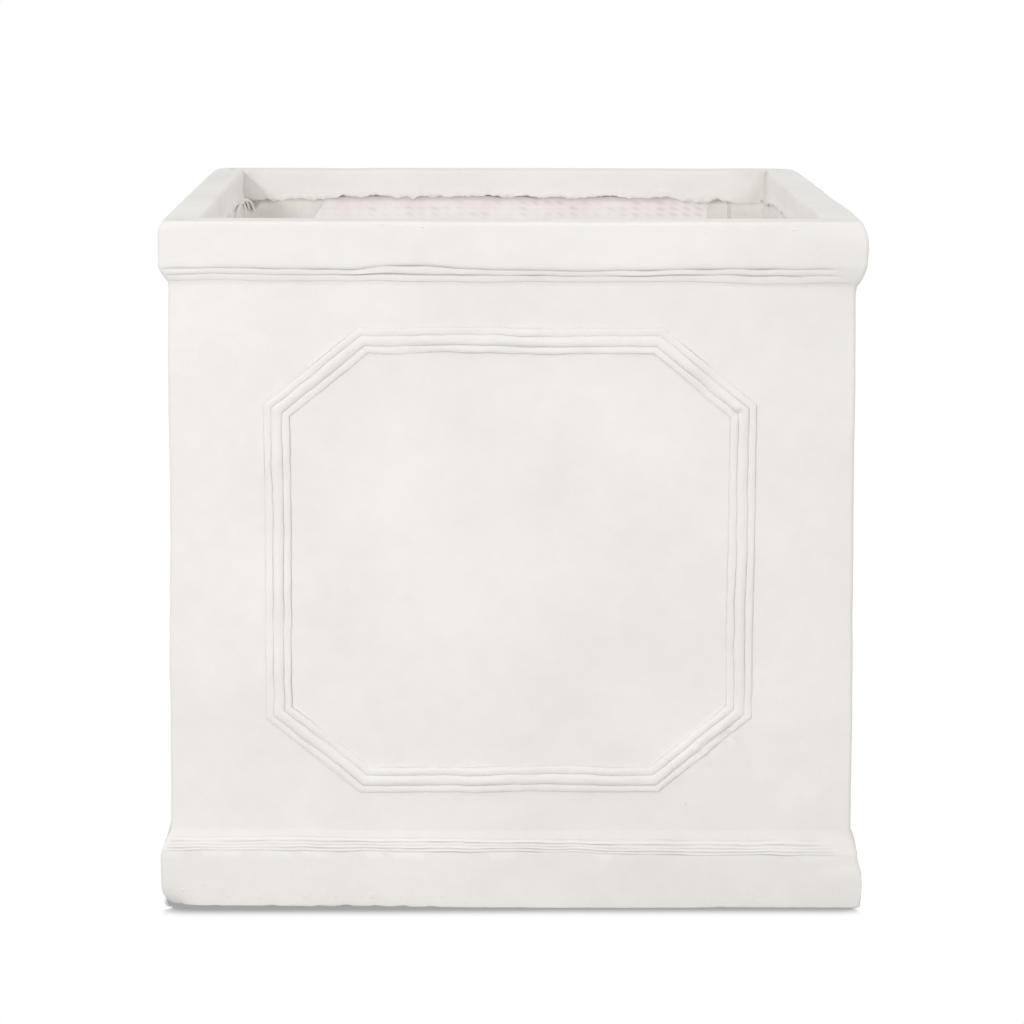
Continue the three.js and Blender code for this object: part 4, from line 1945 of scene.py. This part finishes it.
        # The shadow thins out towards the corners, where both distances from the axis are great.
        place = add_node(tree, "ShaderNodeTexCoord").outputs["Object"]
        distance = add_node(tree, "ShaderNodeVectorMath", {"operation": "ABSOLUTE"}, {0: place}).outputs[0]
        axes = add_node(tree, "ShaderNodeSeparateXYZ", {}, {0: distance}).outputs
        lesser = add_node(
            tree, "ShaderNodeMath", {"operation": "MINIMUM"}, {0: axes["X"], 1: axes["Y"]}
        ).outputs[0]
        end = CAD_BOX[1].x
        run = [share * end for share in self.corner_run]
        thinned = add_node(
            tree, "ShaderNodeMapRange", {}, {"Value": lesser, "From Min": run[0], "From Max": run[1]}
        ).outputs["Result"]
        open_sky = add_node(
            tree, "ShaderNodeMath", {"operation": "MAXIMUM"}, {0: near, 1: thinned}
        ).outputs[0]
        # It is wide in front and a thin line at the sides.
        forward = add_node(tree, "ShaderNodeSeparateXYZ", {}, {0: place}).outputs["Y"]
        ranges = (
            (self.front_run, self.open_front, self.open_side),
            (self.back_run, self.open_side, self.open_back),
        )
        in_front, elsewhere = (
            add_node(
                tree,
                "ShaderNodeMapRange",
                {},
                {"Value": forward, "From Min": low * end, "From Max": high * end, "To Min": a, "To Max": b},
            ).outputs["Result"]
            for (low, high), a, b in ranges
        )
        reach = add_node(
            tree, "ShaderNodeMath", {"operation": "MAXIMUM"}, {0: in_front, 1: elsewhere}
        ).outputs[0]
        shade = add_node(
            tree,
            "ShaderNodeMapRange",
            {"interpolation_type": "SMOOTHSTEP"},
            {
                "Value": open_sky,
                "From Min": self.closed,
                "From Max": reach,
                "To Min": self.darkest,
                "To Max": 1.0,
            },
        ).outputs["Result"]
        grey = add_node(tree, "ShaderNodeCombineColor", {}, {0: shade, 1: shade, 2: shade}).outputs[0]
        white = add_node(tree, "ShaderNodeEmission", {}, {"Color": grey, "Strength": 1.0})
        matt = add_node(tree, "ShaderNodeBsdfDiffuse", {}, {"Color": linear(self.floor_grey)})
        mixed = add_node(
            tree,
            "ShaderNodeMixShader",
            {},
            {0: self.plain_rays(tree), 1: matt.outputs[0], 2: white.outputs[0]},
        )
        add_node(tree, "ShaderNodeOutputMaterial", {}, {"Surface": mixed.outputs[0]})
        mesh.materials.append(material)
        return floor

    def build(self) -> None:
        """Sets the whole studio up."""
        bpy.context.scene.view_settings.view_transform = "Standard"
        self.camera()
        self.key()
        self.fill()
        self.bounce()
        self.sky_dome()
        self.floor()


FRONT_MARKS = (
    Mark(-74.4, 406.0, 1.2, 1.0),
    Mark(-66.9, 405.4, 0.8, 0.6),
    Mark(-53.3, 405.2, 1.3, 1.1),
    Mark(70.2, 406.4, 1.0, 0.8),
    Mark(159.5, 403.2, 1.2, 1.0),
    Mark(174.2, 388.3, 0.9, 0.7),
    Mark(110.9, 402.3, 1.6, 0.5),
    Mark(79.1, 378.4, 1.1, 0.9),
    Mark(102.4, 62.4, 1.0, 0.8),
    Mark(36.5, 65.0, 1.2, 0.7),
    Mark(-182.1, 15.5, 1.2, 0.8),
    Mark(-195.7, 10.6, 1.6, 0.9),
    Mark(-166.2, 9.3, 1.5, 1.0),
    Mark(-150.9, 7.4, 1.2, 0.9),
    Mark(-41.8, 7.8, 1.2, 0.9),
    Mark(36.0, 5.2, 2.4, 1.4),
    Mark(54.9, 15.0, 1.0, 0.6),
    Mark(-141.8, 21.6, 1.0, 0.5),
    Mark(-82.1, 6.3, 2.0, 0.9),
    Mark(-121.4, 7.9, 1.2, 1.0),
    Mark(-113.0, 8.6, 1.0, 1.0),
    Mark(-104.5, 7.4, 1.3, 1.2),
    Mark(-97.6, 9.3, 0.9, 0.8),
    Mark(-90.2, 7.9, 1.1, 1.0),
    Mark(-64.9, 8.8, 1.0, 1.0),
    Mark(104.2, 17.4, 0.9, 0.4),
)

FRONT_SWERVES = (
    Swerve(-53, 380.9, 24, 2.0),
    Swerve(-92, 380.9, 10, -0.5),
    Swerve(150, 372.7, 30, -1.0),
)

FRONT_PATCHES = (
    Rough(126.5, 103, 9, 2.2),
    Rough(113, 93, 8, 2.6),
    Rough(130, 297, 7, 2.0),
    Rough(-163, 337, 9, 1.1),
    Rough(-144, 341, 6, 1.1),
)

# Each strand's knees, in millimetres.
STRANDS = (
    (
        (60, 1, 383),
        (45, 2, 386.5),
        (31, 3, 388.5),
        (18, 5.5, 388.5),
        (9, 8.5, 385),
        (5, 10.5, 377),
        (4, 11, 370),
    ),
    ((24, 3.5, 388.5), (14, 5, 387), (8, 6.5, 381), (6, 7, 372)),
    ((38, 2, 386), (27, 3.5, 387.5), (17, 4.3, 383), (13, 4.3, 374)),
    ((64, 1, 379), (50, 1.8, 384), (36, 2.6, 387), (24, 3.4, 389)),
)


def main() -> None:
    """Builds the planter round its frame and sets it in its studio."""
    logging.basicConfig(level=logging.INFO, format="%(name)s: %(message)s")
    noise.seed_set(NOISE_SEED)  # noise_vector's offsets are drawn from the clock without it
    Studio().build()
    sizes = BoxSizes()
    cement = LimewashedCement().material()
    CastSlab(
        Side.FRONT,
        cement,
        sizes,
        slip=(-1.3, -0.5),
        line_fall=5.3,
        foot_wear=(2.3, 0),
        marks=FRONT_MARKS,
        swerves=FRONT_SWERVES,
        patches=FRONT_PATCHES,
        spread=26,
    ).build()
    CastSlab(
        Side.RIGHT,
        cement,
        sizes,
        slip=(0.8, 0.3),
        line_fall=-2.5,
        lip_fall=(0, 5.0),
        lip_level=110,
        lip_tear=0.6,
        grime=(0, 0.75),
    ).build()
    CastSlab(
        Side.BACK,
        cement,
        sizes,
        slip=(1.1, -0.4),
        line_fall=1.8,
        lip_fall=(5.0, 3.5),
        lip_level=95,
        grime=(0.5, 0.3),
        across=160,
        slanted=60,
    ).build()
    CastSlab(
        Side.LEFT,
        cement,
        sizes,
        slip=(-0.6, 0.5),
        line_fall=0.4,
        foot_wear=(0, 2.3),
        lip_fall=(3.5, 0),
        lip_level=110,
        grime=(0.75, 0),
    ).build()
    inner = InnerSizes()
    mesh, mortar = SoakedMesh().material(), TrowelledMortar().material()
    for side in Side:
        MeshSheet(side, mesh, inner).build()
        FloorCove(side, mortar, inner).build()
    FloorSheet(mesh, inner).build()
    CornerFillet(
        Corner.BACK_LEFT, mortar, inner, reach=(60, 44), edge=3.6, drop=-1.0, sink=3.0, notch=6, slant=9
    ).build()
    ribs = ((29.5, 2.2, 1.5), (25.5, 1.6, -1.6))
    CornerFillet(Corner.BACK_RIGHT, mortar, inner, reach=(44, 14), radius=7.0, drop=1.5, ribs=ribs).build()
    CornerFillet(Corner.FRONT_RIGHT, mortar, inner, reach=(48, 46)).build()
    CornerFillet(Corner.FRONT_LEFT, mortar, inner, reach=(52, 50)).build()
    LooseStrands(Corner.BACK_LEFT, mesh, inner, STRANDS).build()
    floor_slab = frame["nodes"]["floor_slab"]
    floor_slab.data.materials.clear()
    floor_slab.data.materials.append(cement)


if __name__ == "__main__":
    main()
